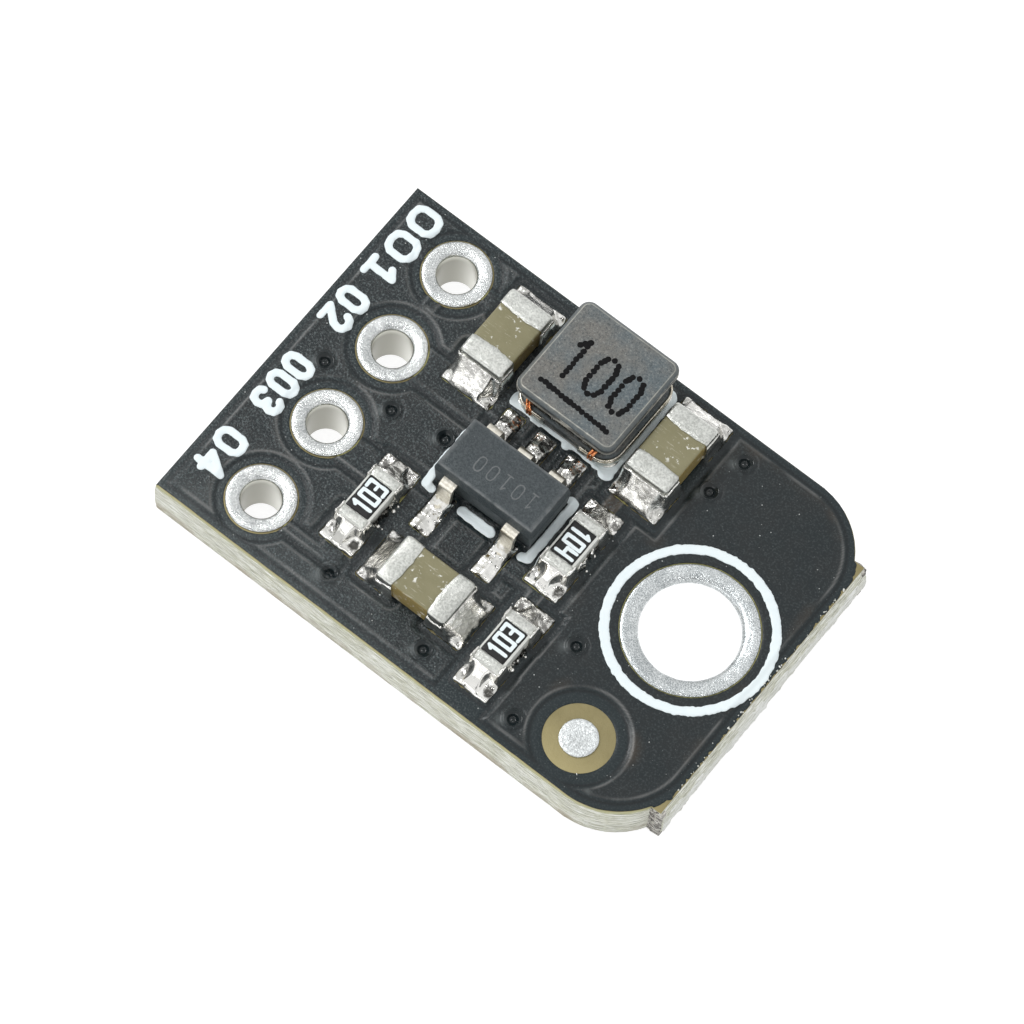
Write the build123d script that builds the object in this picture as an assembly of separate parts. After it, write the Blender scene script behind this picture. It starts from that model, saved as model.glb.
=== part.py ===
from build123d import *
import os
from math import atan2, degrees

# Step-down power converter on a small circuit board. All sizes are in millimetres.
# The origin is at the centre of the underside. +X runs from the header edge to the
# mounting hole edge, +Y towards the ground pin, and +Z is up.

os.makedirs("parts", exist_ok=True)

# Board outline and layers
board_length = 14.78  # over both snapped edges
board_width = 10.16
laminate_thickness = 1.5
copper_thickness = 0.035
mask_thickness = 0.025
legend_thickness = 0.02
corner_radius = 2.1
nib_inset = 1.05  # from the long edge to the laminate nib beside each routed corner
score_depth = 0.42  # of the V groove that the board was snapped along
header_web = 0.05  # how far the broken web stands out of the header edge
far_web = 0.12  # the same at the mounting hole edge
mask_setback = 0.055  # bare laminate along every edge
pour_inset = 0.27  # from the edge to the copper
clearance = 0.22  # between two nets
pad_margin = 0.05  # between a pad and the mask around it

# Plated holes
header_count = 4
header_pitch = 2.54
header_inset = 2.25  # from the header edge to the column of holes
header_shift = 0.045  # of the column along Y, off the centre line
header_hole_radius = 0.5
header_ring_radius = 0.87
mounting_hole_radius = 1.25
mounting_ring_radius = 1.7
mounting_inset = 2.4  # from the far edge to the hole's centre
mounting_shift = 0.09
plating = 0.05
header_lip = 0.12  # radial width of the bevelled entry on the component side
mounting_lip = 0.15
lip_depth = 0.075
relief_radius = 1.2  # of the gap around each header ring
spoke_width = 0.4
via_radius = 0.17  # of the plugged copper barrel
via_side_count = 8  # sides that the buried barrels are drawn with
buried_side_count = 16  # sides that wider round forms are drawn with where they are buried
via_places = [
    (-6.2, 0.0),
    (-4.14, 0.02),
    (-2.66, 0.25),
    (-2.66, -4.27),
    (0.31, -4.35),
    (3.07, -4.38),
    (3.11, -1.96),
    (3.17, 3.23),
    (3.38, 4.35),
]

# Copper of the component side, as limits in X and then in Y
tracks = [
    (-5.12, -2.4, 0.98, 1.9),
    (-2.4, -1.2, 1.45, 2.3),
    (-5.12, -2.5, -1.8, -1.03),
    (-2.5, -1.49, -2.6, -1.25),
    (-5.12, -2.6, -4.08, -3.82),
    (-3.3, -2.7, -3.9, -3.3),
    (0.2, 1.6, -1.57, -1.15),
    (1.35, 1.75, -2.2, -1.0),
    (1.35, 1.75, 1.1, 1.9),
    (0.1, 1.3, 2.2, 2.6),
]
bare_areas = [
    (1.0, 2.53, -5.08, -1.5),
    (1.0, 2.3, -1.6, 1.45),
    (1.0, 2.9, 1.4, 5.08),
    (-1.42, -0.06, -2.35, -0.85),
]
ground_island = (-1.15, -0.25, -2.15, -1.2)
smallest_island = 0.3  # square millimetres; anything less is left off

# Fiducial mark
fiducial_place = (4.59, -3.76)
fiducial_radius = 0.49
fiducial_opening = 0.89
fiducial_keepout = 1.28

# Printed legend
legend_line = 0.25
legend_ring_radius = 2.08  # to the middle of the line
inductor_mark = (3.2, 2.8)  # outline size over the lines
inductor_mark_drop = 0.07  # towards -Y from the inductor's centre
bracket_half_width = 1.58  # from the regulator's centre to each bracket
bracket_top = 0.89
bracket_bottom = -0.98
bracket_foot = 0.15
centre_mark = 0.88  # length of the bar between the lower leads, between its ends' centres

# Voltage regulator, five leads
regulator_place = (-0.74, 0.01)
regulator_length = 3.0
regulator_width = 1.6
regulator_height = 1.02
regulator_standoff = 0.1
regulator_parting = 0.7  # height of the parting line over the underside of the body
regulator_inset_top = 0.07
regulator_inset_bottom = 0.06
lead_width = 0.4
lead_thickness = 0.13
lead_pitch = 0.95
lead_span = 2.84  # toe to toe
lead_foot = 0.36
lead_inner = 0.32  # from the centre line to the lead's end inside the body
lead_bend = 0.1
lead_solder = 0.03  # film under each foot
lead_pad = (0.56, 1.2)
lead_pad_centre = 1.36  # from the pads' centre line to the middle of a pad
lead_pad_shift = -0.1  # of the pads' centre line from the body's
die_size = (1.7, 1.0, 0.2)

# Power inductor
inductor_place = (-0.506, 3.42)
inductor_height = 1.4
top_flange_size = 2.97
top_flange_thickness = 0.3
top_flange_corner = 0.28
top_flange_chamfer = 0.09
base_flange = (2.96, 2.76)
base_flange_thickness = 0.36
base_flange_corner = 0.5
core_post_radius = 0.62
winding_radius = 1.15
resin_size = 2.6
resin_corner = 0.42
inductor_plating = 0.025
terminal_reach = 0.95  # along X
terminal_rise = 0.26  # up the side of the base flange
wire_diameter = 0.08
wire_side_count = 8  # sides that the fine wire is drawn with
wire_gap = 0.01
wire_lap = 0.1  # of each wire's end over the plating
wire_places = [(-1.05, 0.1), (0.96, -0.03)]  # start across the front, drift on the way out
inductor_pad = (0.8, 2.05)
inductor_pad_spacing = 1.78
inductor_solder = 0.05

# Chip capacitors
capacitor_length = 2.1
capacitor_width = 1.3
capacitor_height = 0.86
capacitor_band = 0.5
capacitor_skin = 0.03
capacitor_edge = 0.07
ceramic_edge = 0.03
capacitor_pad = (1.08, 1.46)
capacitor_pad_spacing = 2.1
capacitor_fillet = 0.62  # solder height on the end face
# centre of the pads, turn about Z, and how far the chip sits off that centre
capacitors = [
    ((-3.03, 3.05), 90, (0.0, 0.05)),
    ((1.94, 3.27), 90, (-0.03, 0.0)),
    ((-0.59, -3.13), 0, (0.01, -0.03)),
]

# Chip resistors
resistor_length = 1.6
resistor_width = 0.8
resistor_height = 0.45
resistor_band = 0.3
resistor_skin = 0.02
overcoat = (0.98, 0.7, 0.03)
resistor_pad = (0.95, 1.03)
resistor_pad_spacing = 1.79
resistor_fillet = 0.36
resistors = [
    ((-3.0, -2.25), 90, (-0.02, 0.0)),
    ((1.55, -0.07), 90, (-0.03, 0.0)),
    ((1.82, -3.13), 90, (-0.02, 0.02)),
]

chip_solder = 0.03  # film between a chip and its pads
solder_hollow = 0.36  # share of the fillet's width and height at its middle
solder_overlap = 0.12  # how far the fillet reaches up beside the chip's end

# Levels
laminate_bottom = mask_thickness + copper_thickness
laminate_top = laminate_bottom + laminate_thickness
pad_top = laminate_top + copper_thickness
mask_top = pad_top + mask_thickness

# Edges and centres
header_edge = -board_length / 2
far_edge = board_length / 2
header_rim = header_edge + header_web
far_rim = far_edge - far_web
header_x = header_edge + header_inset
mounting_place = (far_edge - mounting_inset, mounting_shift)
header_ys = [
    header_shift + header_pitch * ((header_count - 1) / 2 - i) for i in range(header_count)
]
header_places = [(header_x, y) for y in header_ys]


def at(place, shape):
    """A copy of a shape, moved to a place on the plan."""
    return Pos(place[0], place[1]) * shape


def disc(place, radius):
    return at(place, Circle(radius))


def buried_disc(place, radius):
    return at(place, RegularPolygon(radius, buried_side_count))


def span(x0, x1, y0, y1):
    """A rectangle between two X and two Y limits."""
    return at(((x0 + x1) / 2, (y0 + y1) / 2), Rectangle(x1 - x0, y1 - y0))


def spans(limits, grow):
    return [span(x0 - grow, x1 + grow, y0 - grow, y1 + grow) for x0, x1, y0, y1 in limits]


def joined(shapes):
    total = shapes[0]
    for shape in shapes[1:]:
        total += shape
    return total


def slab(plan, bottom, thickness):
    """A plan extruded upwards from a level."""
    return extrude(Pos(0, 0, bottom) * plan, amount=thickness, dir=(0, 0, 1))


def outline_plan(inset):
    """The top face's outline: square at the header edge, routed round at the far one."""
    x0 = header_rim + inset
    x1 = far_rim - inset
    half = board_width / 2 - inset
    radius = corner_radius - inset
    middle = (x0 + x1) / 2
    blank = at((middle, 0), Rectangle(x1 - x0, 2 * half))
    return fillet(blank.vertices().group_by(Axis.X)[-1], radius)


def laminate_plan():
    corner_x = far_rim - corner_radius
    nib_half = board_width / 2 - nib_inset
    body = span(header_edge, far_edge - corner_radius, -board_width / 2, board_width / 2)
    return body + outline_plan(0) + span(corner_x, far_edge, -nib_half, nib_half)


def score_cut(rim, edge):
    """Wedges that bevel one snapped edge above and below its broken web."""
    out = edge + (edge - rim)
    wedges = []
    for face, way in ((laminate_bottom, 1), (laminate_top, -1)):
        profile = Polyline(
            (rim, 0, face),
            (edge, 0, face + way * score_depth),
            (out, 0, face + way * score_depth),
            (out, 0, face - way * score_depth),
            (rim, 0, face - way * score_depth),
            close=True,
        )
        wedge = extrude(make_face(profile), amount=board_width, both=True)
        wedges.append(wedge)
    return joined(wedges)


def pcb_laminate():
    board = slab(laminate_plan(), laminate_bottom, laminate_thickness)
    board -= score_cut(far_rim, far_edge)
    board -= score_cut(header_rim, header_edge)
    holes = [disc(place, header_hole_radius + plating) for place in header_places]
    holes.append(disc(mounting_place, mounting_hole_radius + plating))
    holes += via_plans()
    return board - slab(joined(holes), laminate_bottom, laminate_thickness)


def plated_hole(hole_radius, ring_radius, lip):
    """Barrel and both rings of a tinned hole, with a bevelled entry on the component side."""
    wall = hole_radius + plating
    with BuildPart() as barrel:
        with BuildSketch(Plane.XZ):
            with BuildLine():
                Polyline(
                    (hole_radius, 0),
                    (hole_radius, mask_top - lip_depth),
                    (hole_radius + lip, mask_top),
                    (ring_radius, mask_top),
                    (ring_radius, laminate_top),
                    (wall, laminate_top),
                    (wall, laminate_bottom),
                    (ring_radius, laminate_bottom),
                    (ring_radius, 0),
                    close=True,
                )
            make_face()
        revolve(axis=Axis.Z)
    return barrel.part


def via_plans():
    return [at(place, RegularPolygon(via_radius, via_side_count)) for place in via_places]


def via_barrels():
    barrels = [slab(plan, laminate_bottom, laminate_thickness) for plan in via_plans()]
    return Compound(children=barrels)


def turned(offset, turn):
    """An offset in a chip's own axes, turned into the board's."""
    return Vector(*offset).rotate(Axis.Z, turn)


def chip_pads(chips, pad, spacing, grow):
    plans = []
    for place, turn, _ in chips:
        for side in (-1, 1):
            centre = Vector(*place) + turned((side * spacing / 2, 0), turn)
            land = Rectangle(pad[0] + 2 * grow, pad[1] + 2 * grow)
            plans.append(Pos(centre.X, centre.Y) * Rot(0, 0, turn) * land)
    return plans


# Each regulator lead: place across the body in pitches, and side of the body
lead_places = [(-1, 1), (0, 1), (1, 1), (1, -1), (-1, -1)]


def lead_pads(grow):
    plans = []
    for step, side in lead_places:
        x = regulator_place[0] + step * lead_pitch
        y = regulator_place[1] + lead_pad_shift + side * lead_pad_centre
        plans.append(at((x, y), Rectangle(lead_pad[0] + 2 * grow, lead_pad[1] + 2 * grow)))
    return plans


def inductor_pads(grow):
    plans = []
    for side in (-1, 1):
        x = inductor_place[0] + side * inductor_pad_spacing / 2
        size = (inductor_pad[0] + 2 * grow, inductor_pad[1] + 2 * grow)
        plans.append(at((x, inductor_place[1]), Rectangle(*size)))
    return plans


def pad_plans(grow):
    """Every soldered land, grown all round."""
    plans = chip_pads(capacitors, capacitor_pad, capacitor_pad_spacing, grow)
    plans += chip_pads(resistors, resistor_pad, resistor_pad_spacing, grow)
    return plans + lead_pads(grow) + inductor_pads(grow)


def copper_plan():
    """Copper on the component side: the pour with its gaps, then lands and tracks."""
    limit = outline_plan(pour_inset)
    gaps = spans(bare_areas, 0) + spans(tracks, clearance) + pad_plans(clearance)
    gaps += [buried_disc(place, relief_radius) for place in header_places]
    gaps.append(buried_disc(fiducial_place, fiducial_keepout))
    ground = header_places[0]
    reach = 2 * relief_radius
    spokes = at(ground, Rectangle(reach, spoke_width)) + at(ground, Rectangle(spoke_width, reach))
    pour = (limit - joined(gaps)) + (spokes & limit)
    plan = pour + joined(pad_plans(0) + spans(tracks + [ground_island], 0))
    plan -= joined(ring_plans(0))
    return joined([face for face in plan.faces() if face.area > smallest_island])


def ring_plans(grow):
    rings = [disc(place, header_ring_radius + grow) for place in header_places]
    rings.append(disc(mounting_place, mounting_ring_radius + grow))
    return rings


def top_copper():
    return slab(copper_plan(), laminate_top, copper_thickness)


def mask_plan(openings):
    return outline_plan(mask_setback) - joined(openings)


def top_solder_mask(copper):
    """Ink that fills between the tracks and covers them."""
    openings = pad_plans(pad_margin) + ring_plans(pad_margin)
    openings.append(disc(fiducial_place, fiducial_opening))
    return slab(mask_plan(openings), laminate_top, mask_top - laminate_top) - copper


def bottom_solder_mask():
    return slab(mask_plan(ring_plans(pad_margin)), 0, laminate_bottom)


def fiducial_pad():
    return slab(disc(fiducial_place, fiducial_radius), laminate_top, copper_thickness)


def legend_bar(x0, y0, x1, y1):
    """A printed line along X or Y, as long past each end as it is wide."""
    return spans([(min(x0, x1), max(x0, x1), min(y0, y1), max(y0, y1))], legend_line / 2)[0]


def legend_plan():
    half = legend_line / 2
    ring = disc(mounting_place, legend_ring_radius + half)
    ring -= disc(mounting_place, legend_ring_radius - half)
    frame_centre = (inductor_place[0], inductor_place[1] - inductor_mark_drop)
    frame = at(frame_centre, Rectangle(*inductor_mark))
    inner = (inductor_mark[0] - 2 * legend_line, inductor_mark[1] - 2 * legend_line)
    frame -= at(frame_centre, Rectangle(*inner))
    marks = [ring, frame]
    x, y = regulator_place
    low = y + bracket_bottom
    high = y + bracket_top
    for side in (-1, 1):
        edge = x + side * bracket_half_width
        foot = edge - side * bracket_foot
        marks.append(legend_bar(edge, high, edge, low))
        marks.append(legend_bar(edge, low, foot, low))
        marks.append(legend_bar(edge, high, foot, high))
    marks.append(legend_bar(x - centre_mark / 2, low, x + centre_mark / 2, low))
    return joined(marks) - joined(pad_plans(pad_margin))


def top_legend():
    return slab(legend_plan(), mask_top, legend_thickness)


def regulator_block():
    """Moulded body with drafted halves on either side of the parting line."""
    base = Rectangle(regulator_length, regulator_width)
    up = regulator_height - regulator_parting
    down_taper = degrees(atan2(regulator_inset_bottom, regulator_parting))
    up_taper = degrees(atan2(regulator_inset_top, up))
    upper = extrude(base, amount=up, taper=up_taper)
    lower = extrude(base, amount=regulator_parting, dir=(0, 0, -1), taper=down_taper)
    return upper + lower


def regulator_parting_level():
    return mask_top + regulator_standoff + regulator_parting


def lead_shape():
    """A gull-wing lead on the +Y side, from inside the body to its toe."""
    shoulder = regulator_parting_level() - lead_thickness / 2
    sole = pad_top + lead_solder + lead_thickness / 2
    toe = lead_span / 2
    heel = toe - lead_foot
    knee = regulator_width / 2 + lead_bend + lead_thickness / 2
    path = FilletPolyline(
        (0, lead_inner, shoulder),
        (0, knee, shoulder),
        (0, heel, sole),
        (0, toe, sole),
        radius=lead_bend,
    )
    section = Pos(0, lead_inner, shoulder) * Rot(90, 0, 0) * Rectangle(lead_width, lead_thickness)
    return sweep(section, path=path)


def regulator_leads():
    lead = lead_shape()
    x, y = regulator_place
    leads = []
    for step, side in lead_places:
        turn = 0 if side > 0 else 180
        leads.append(Pos(x + step * lead_pitch, y) * Rot(0, 0, turn) * lead)
    return leads


def regulator_die():
    level = regulator_parting_level() - lead_thickness - die_size[2]
    place = Pos(regulator_place[0], regulator_place[1], level)
    return place * Box(*die_size, align=(Align.CENTER, Align.CENTER, Align.MIN))


def regulator_body(leads, die):
    body = Pos(*regulator_place, regulator_parting_level()) * regulator_block()
    for lead in leads:
        body -= lead
    return body - die


def lead_joints(leads):
    """Solder under, beside and in front of each foot."""
    film = lead_solder
    toe = lead_span / 2
    bead = lead_solder + lead_thickness * 0.8
    joints = []
    for (step, side), lead in zip(lead_places, leads):
        centre = side * lead_pad_shift + lead_pad_centre
        near = centre - lead_pad[1] / 2
        far = centre + lead_pad[1] / 2
        profile = Polyline(
            (0, near, 0),
            (0, near, film),
            (0, toe - lead_foot, bead),
            (0, toe, bead),
            (0, far, film),
            (0, far, 0),
            close=True,
        )
        bead_solid = extrude(make_face(profile), amount=lead_pad[0] / 2, both=True)
        turn = 0 if side > 0 else 180
        x = regulator_place[0] + step * lead_pitch
        placed = Pos(x, regulator_place[1], pad_top) * Rot(0, 0, turn) * bead_solid
        joints.append(placed - lead)
    return Compound(children=joints)


def rounded_block(size_x, size_y, height, corner):
    return slab(RectangleRounded(size_x, size_y, corner), 0, height)


def inductor_base_level():
    return pad_top + inductor_solder + inductor_plating


def inductor_core():
    """Ferrite drum: base flange, post and bevelled top flange in one piece."""
    base = rounded_block(*base_flange, base_flange_thickness, base_flange_corner)
    post = slab(buried_disc((0, 0), core_post_radius), 0, core_height())
    top = rounded_block(top_flange_size, top_flange_size, top_flange_thickness, top_flange_corner)
    top = chamfer(top.faces().sort_by(Axis.Z)[-1].edges(), top_flange_chamfer)
    top = Pos(0, 0, core_height() - top_flange_thickness) * top
    return base + post + top


def core_height():
    return inductor_height - (inductor_base_level() - mask_top)


def winding_height():
    return core_height() - base_flange_thickness - top_flange_thickness


def inductor_winding():
    ring = buried_disc((0, 0), winding_radius) - buried_disc((0, 0), core_post_radius)
    return slab(ring, base_flange_thickness, winding_height())


def inductor_wires():
    """Paired wire ends that lie on the base flange and turn down over the plating."""
    radius = wire_diameter / 2
    front = -base_flange[1] / 2 - inductor_plating - radius
    level = base_flange_thickness + radius
    wires = []
    for start, drift in wire_places:
        for side in (-1, 1):
            x = start + side * (radius + wire_gap / 2)
            path = Polyline(
                (x, -resin_size / 2, level),
                (x + drift, front, level),
                (x + drift, front, terminal_rise - wire_lap),
            )
            section = Plane(origin=path @ 0, z_dir=(0, -1, 0)) * RegularPolygon(radius, wire_side_count)
            wires.append(sweep(section, path=path, transition=Transition.RIGHT))
    return wires


def inductor_resin():
    plan = RectangleRounded(resin_size, resin_size, resin_corner)
    plan -= buried_disc((0, 0), winding_radius)
    return slab(plan, base_flange_thickness, winding_height())


def inductor_terminal(side):
    """Plated end of the base flange: a tray below it with walls up its sides."""
    grown = (base_flange[0] + 2 * inductor_plating, base_flange[1] + 2 * inductor_plating)
    corner = base_flange_corner + inductor_plating
    tray = rounded_block(*grown, terminal_rise + inductor_plating, corner)
    tray = Pos(0, 0, -inductor_plating) * tray
    tray -= rounded_block(*base_flange, base_flange_thickness, base_flange_corner)
    inner = base_flange[0] / 2 - terminal_reach
    outer = base_flange[0]
    keep = span(inner, outer, -outer, outer)
    cut = slab(keep, -2 * inductor_plating, inductor_height)
    return tray & (Rot(0, 0, 0 if side > 0 else 180) * cut)


def inductor_joints():
    return Compound(children=[slab(plan, pad_top, inductor_solder) for plan in inductor_pads(0)])


def chip_level():
    return pad_top + chip_solder


def placed(chip, shape):
    """A shape modelled about the chip's centre on Z 0, set down on its film of solder."""
    place, turn, offset = chip
    return Pos(place[0] + offset[0], place[1] + offset[1], chip_level()) * Rot(0, 0, turn) * shape


def ceramic_block():
    skin = capacitor_skin
    size = (capacitor_length - 2 * skin, capacitor_width - 2 * skin, capacitor_height - 2 * skin)
    block = Pos(0, 0, skin) * Box(*size, align=(Align.CENTER, Align.CENTER, Align.MIN))
    return chamfer(block.edges().filter_by(Axis.X), ceramic_edge)


def capacitor_cap(side):
    """Tinned cup over one end of the ceramic."""
    low = (Align.MAX, Align.CENTER, Align.MIN)
    cup = Box(capacitor_band, capacitor_width, capacitor_height, align=low)
    end = cup.faces().sort_by(Axis.X)[-1].edges()
    long_edges = cup.edges().filter_by(Axis.X)
    cup = chamfer(long_edges + end, capacitor_edge)
    cup = Pos(capacitor_length / 2, 0, 0) * cup
    return Rot(0, 0, 0 if side > 0 else 180) * cup - ceramic_block()


def resistor_substrate():
    skin = resistor_skin
    size = (resistor_length - 2 * skin, resistor_width, resistor_height - 2 * skin)
    return Pos(0, 0, skin) * Box(*size, align=(Align.CENTER, Align.CENTER, Align.MIN))


def resistor_overcoat():
    coat = Box(*overcoat, align=(Align.CENTER, Align.CENTER, Align.MIN))
    rim = coat.faces().sort_by(Axis.Z)[-1].edges()
    coat = chamfer(rim, overcoat[2] / 2)
    return Pos(0, 0, resistor_height - resistor_skin) * coat


def resistor_cap(side):
    """Tinned clip round one end, open at the sides."""
    low = (Align.MAX, Align.CENTER, Align.MIN)
    clip = Box(resistor_band, resistor_width, resistor_height, align=low)
    end = clip.faces().sort_by(Axis.X)[-1].edges().filter_by(Axis.Y)
    clip = Pos(resistor_length / 2, 0, 0) * chamfer(end, resistor_skin)
    return Rot(0, 0, 0 if side > 0 else 180) * clip - resistor_substrate()


def fillet_solid(pad, spacing, length, width, rise):
    """Solder on the +X land of a chip: a film under its end and a hollow fillet before it."""
    film = chip_solder
    near = spacing / 2 - pad[0] / 2
    far = spacing / 2 + pad[0] / 2
    end = length / 2
    inside = end - solder_overlap
    top = film + rise
    hollow = (end + (far - end) * solder_hollow, film + rise * solder_hollow)
    with BuildPart() as joint:
        with BuildSketch(Plane.XZ):
            with BuildLine():
                Line((near, 0), (far, 0))
                Line((far, 0), (far, film))
                ThreePointArc((far, film), hollow, (end, top))
                Line((end, top), (inside, top))
                Line((inside, top), (inside, film))
                Line((inside, film), (near, film))
                Line((near, film), (near, 0))
            make_face()
        extrude(amount=pad[1] / 2, both=True)
        with BuildSketch(Plane.YZ):
            with BuildLine():
                Polyline(
                    (-pad[1] / 2, 0),
                    (pad[1] / 2, 0),
                    (pad[1] / 2, film),
                    (width / 2, top),
                    (-width / 2, top),
                    (-pad[1] / 2, film),
                    close=True,
                )
            make_face()
        extrude(amount=far, mode=Mode.INTERSECT)
    return joint.part


def chip_joints(chip, pad, spacing, length, width, rise, pieces):
    """Both solder joints of a chip, cut back to the chip itself."""
    place, turn, _ = chip
    joints = []
    for side in (0, 180):
        shape = Rot(0, 0, turn + side) * fillet_solid(pad, spacing, length, width, rise)
        shape = Pos(place[0], place[1], pad_top) * shape
        for piece in pieces:
            shape -= piece
        joints += [solid for solid in shape.solids() if solid.volume > 1e-4]
    return Compound(children=joints)


def capacitor_nodes(number, chip):
    name = f"capacitor_{number}"
    nodes = {
        f"{name}_ceramic": placed(chip, ceramic_block()),
        f"{name}_terminal_1": placed(chip, capacitor_cap(-1)),
        f"{name}_terminal_2": placed(chip, capacitor_cap(1)),
    }
    size = (capacitor_length, capacitor_width, capacitor_fillet)
    pieces = list(nodes.values())
    joints = chip_joints(chip, capacitor_pad, capacitor_pad_spacing, *size, pieces)
    nodes[f"{name}_solder_joints"] = joints
    return nodes


def resistor_nodes(number, chip):
    name = f"resistor_{number}"
    nodes = {
        f"{name}_substrate": placed(chip, resistor_substrate()),
        f"{name}_overcoat": placed(chip, resistor_overcoat()),
        f"{name}_terminal_1": placed(chip, resistor_cap(-1)),
        f"{name}_terminal_2": placed(chip, resistor_cap(1)),
    }
    size = (resistor_length, resistor_width, resistor_fillet)
    pieces = list(nodes.values())
    joints = chip_joints(chip, resistor_pad, resistor_pad_spacing, *size, pieces)
    nodes[f"{name}_solder_joints"] = joints
    return nodes


def board_nodes():
    nodes = {"pcb_laminate": pcb_laminate()}
    nodes["top_copper"] = top_copper()
    nodes["top_solder_mask"] = top_solder_mask(nodes["top_copper"])
    nodes["bottom_solder_mask"] = bottom_solder_mask()
    nodes["top_legend"] = top_legend()
    nodes["fiducial_pad"] = fiducial_pad()
    ring = plated_hole(header_hole_radius, header_ring_radius, header_lip)
    for number, place in enumerate(header_places, 1):
        nodes[f"header_barrel_{number}"] = at(place, ring)
    ring = plated_hole(mounting_hole_radius, mounting_ring_radius, mounting_lip)
    nodes["mounting_hole_barrel"] = at(mounting_place, ring)
    nodes["via_barrels"] = via_barrels()
    return nodes


def regulator_nodes():
    leads = regulator_leads()
    die = regulator_die()
    nodes = {"regulator_body": regulator_body(leads, die), "regulator_die": die}
    for number, lead in enumerate(leads, 1):
        nodes[f"regulator_lead_{number}"] = lead
    nodes["regulator_solder_joints"] = lead_joints(leads)
    return nodes


def inductor_nodes():
    pieces = {
        "inductor_core": inductor_core(),
        "inductor_winding": inductor_winding(),
        "inductor_wire_ends": Compound(children=inductor_wires()),
        "inductor_resin": inductor_resin(),
        "inductor_terminal_1": inductor_terminal(-1),
        "inductor_terminal_2": inductor_terminal(1),
    }
    seat = Pos(*inductor_place, inductor_base_level())
    nodes = {name: seat * piece for name, piece in pieces.items()}
    nodes["inductor_solder_joints"] = inductor_joints()
    return nodes


nodes = board_nodes()
nodes.update(regulator_nodes())
nodes.update(inductor_nodes())
for number, chip in enumerate(capacitors, 1):
    nodes.update(capacitor_nodes(number, chip))
for number, chip in enumerate(resistors, 1):
    nodes.update(resistor_nodes(number, chip))

for name, shape in nodes.items():
    export_step(shape, f"parts/{name}.step")
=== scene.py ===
import bpy
import math
import numpy as np
from mathutils import Matrix, Vector


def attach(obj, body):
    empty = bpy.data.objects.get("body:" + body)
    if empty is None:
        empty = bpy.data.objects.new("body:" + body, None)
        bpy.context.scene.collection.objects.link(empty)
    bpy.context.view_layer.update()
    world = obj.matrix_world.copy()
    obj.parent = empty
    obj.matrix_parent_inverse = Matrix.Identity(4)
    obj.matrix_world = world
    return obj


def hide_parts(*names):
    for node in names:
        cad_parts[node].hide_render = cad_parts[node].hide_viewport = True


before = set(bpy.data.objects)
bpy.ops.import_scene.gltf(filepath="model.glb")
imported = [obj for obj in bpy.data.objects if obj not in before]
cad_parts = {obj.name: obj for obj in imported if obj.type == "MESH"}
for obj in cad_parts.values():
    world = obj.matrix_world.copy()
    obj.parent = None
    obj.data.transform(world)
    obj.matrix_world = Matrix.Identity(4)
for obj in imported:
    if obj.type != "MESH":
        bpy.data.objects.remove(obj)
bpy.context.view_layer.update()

MM = 0.001

# Levels of the frame, in millimetres: laminate from under to top, lands and mask, feet of solder and chips
UNDER = 0.06
LAMINATE = 1.56
PAD = 1.595
MASK = 1.62
SOLDER_FOOT = LAMINATE + 0.02
SEAT = PAD + 0.03

# The board from above: header edge, far edge, half its width, far corners, half the reach of the nibs
LEFT, RIGHT, HALF = -7.34, 7.27, 5.08
CORNER = 2.1
NIB = 4.03
WHOLE = (-7.4, 7.4, -5.15, 5.15)

# Places, in millimetres, as the frame has them
HEADERS = [(-5.14, y) for y in (3.855, 1.315, -1.225, -3.765)]
MOUNT = (4.99, 0.09)
# Radii of a plated hole, its rolled lip's width and its ring
HEADER_HOLE = (0.5, 0.14, 0.88)
MOUNT_HOLE = (1.25, 0.2, 1.71)
FIDUCIAL = (4.59, -3.76)
VIAS = [(-6.2, 0.0), (-4.14, 0.02), (-2.66, 0.25), (-2.66, -4.27), (0.31, -4.35),
        (3.07, -4.38), (3.11, -1.96), (3.17, 3.23), (3.38, 4.35)]

# Chips: place between the lands, turn in degrees, and how far the chip sits from that place
CAPACITORS = [((-3.03, 3.05), 90, (0.0, 0.05)), ((1.94, 3.27), 90, (-0.03, 0.0)),
              ((-0.59, -3.13), 0, (0.01, -0.03))]
RESISTORS = [((-3.0, -2.25), 90, (-0.02, 0.0)), ((1.55, -0.07), 90, (-0.03, 0.0)),
             ((1.82, -3.13), 90, (-0.02, 0.02))]
CAP_PAD, CAP_SPACING, CAP_SIZE = (1.08, 1.46), 2.1, (2.1, 1.3, 0.86)
RES_PAD, RES_SPACING, RES_SIZE = (0.95, 1.03), 1.79, (1.6, 0.80, 0.45)

# The regulator with the lands of its leads, and the inductor from its foot to its top
REGULATOR = (-0.74, 0.01)
REGULATOR_SIZE = (3.0, 1.6)
LEAD_PITCH = 0.95
LEAD_HALF = (0.28, 0.6)
LEADS = [((REGULATOR[0] + step * LEAD_PITCH, REGULATOR[1] - 0.1 + side * 1.36), side)
         for step, side in ((-1, 1), (0, 1), (1, 1), (1, -1), (-1, -1))]
INDUCTOR = (-0.506, 3.42)
FLANGE = 2.97
INDUCTOR_FOOT, INDUCTOR_TOP = 1.67, 3.02


# Numbers over arrays

def turned(x, y, a):
    return x * math.cos(a) - y * math.sin(a), x * math.sin(a) + y * math.cos(a)


def lattice(x, y, seed, cells=97):
    """Smooth value noise between 0 and 1 on a unit lattice."""
    table = np.random.default_rng(seed).random((cells, cells))
    xi, yi = np.floor(x).astype(int), np.floor(y).astype(int)
    fx, fy = x - xi, y - yi
    u, v = fx * fx * (3 - 2 * fx), fy * fy * (3 - 2 * fy)
    a, b = table[xi % cells, yi % cells], table[(xi + 1) % cells, yi % cells]
    c, d = table[xi % cells, (yi + 1) % cells], table[(xi + 1) % cells, (yi + 1) % cells]
    return (a * (1 - u) + b * u) * (1 - v) + (c * (1 - u) + d * u) * v


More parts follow.
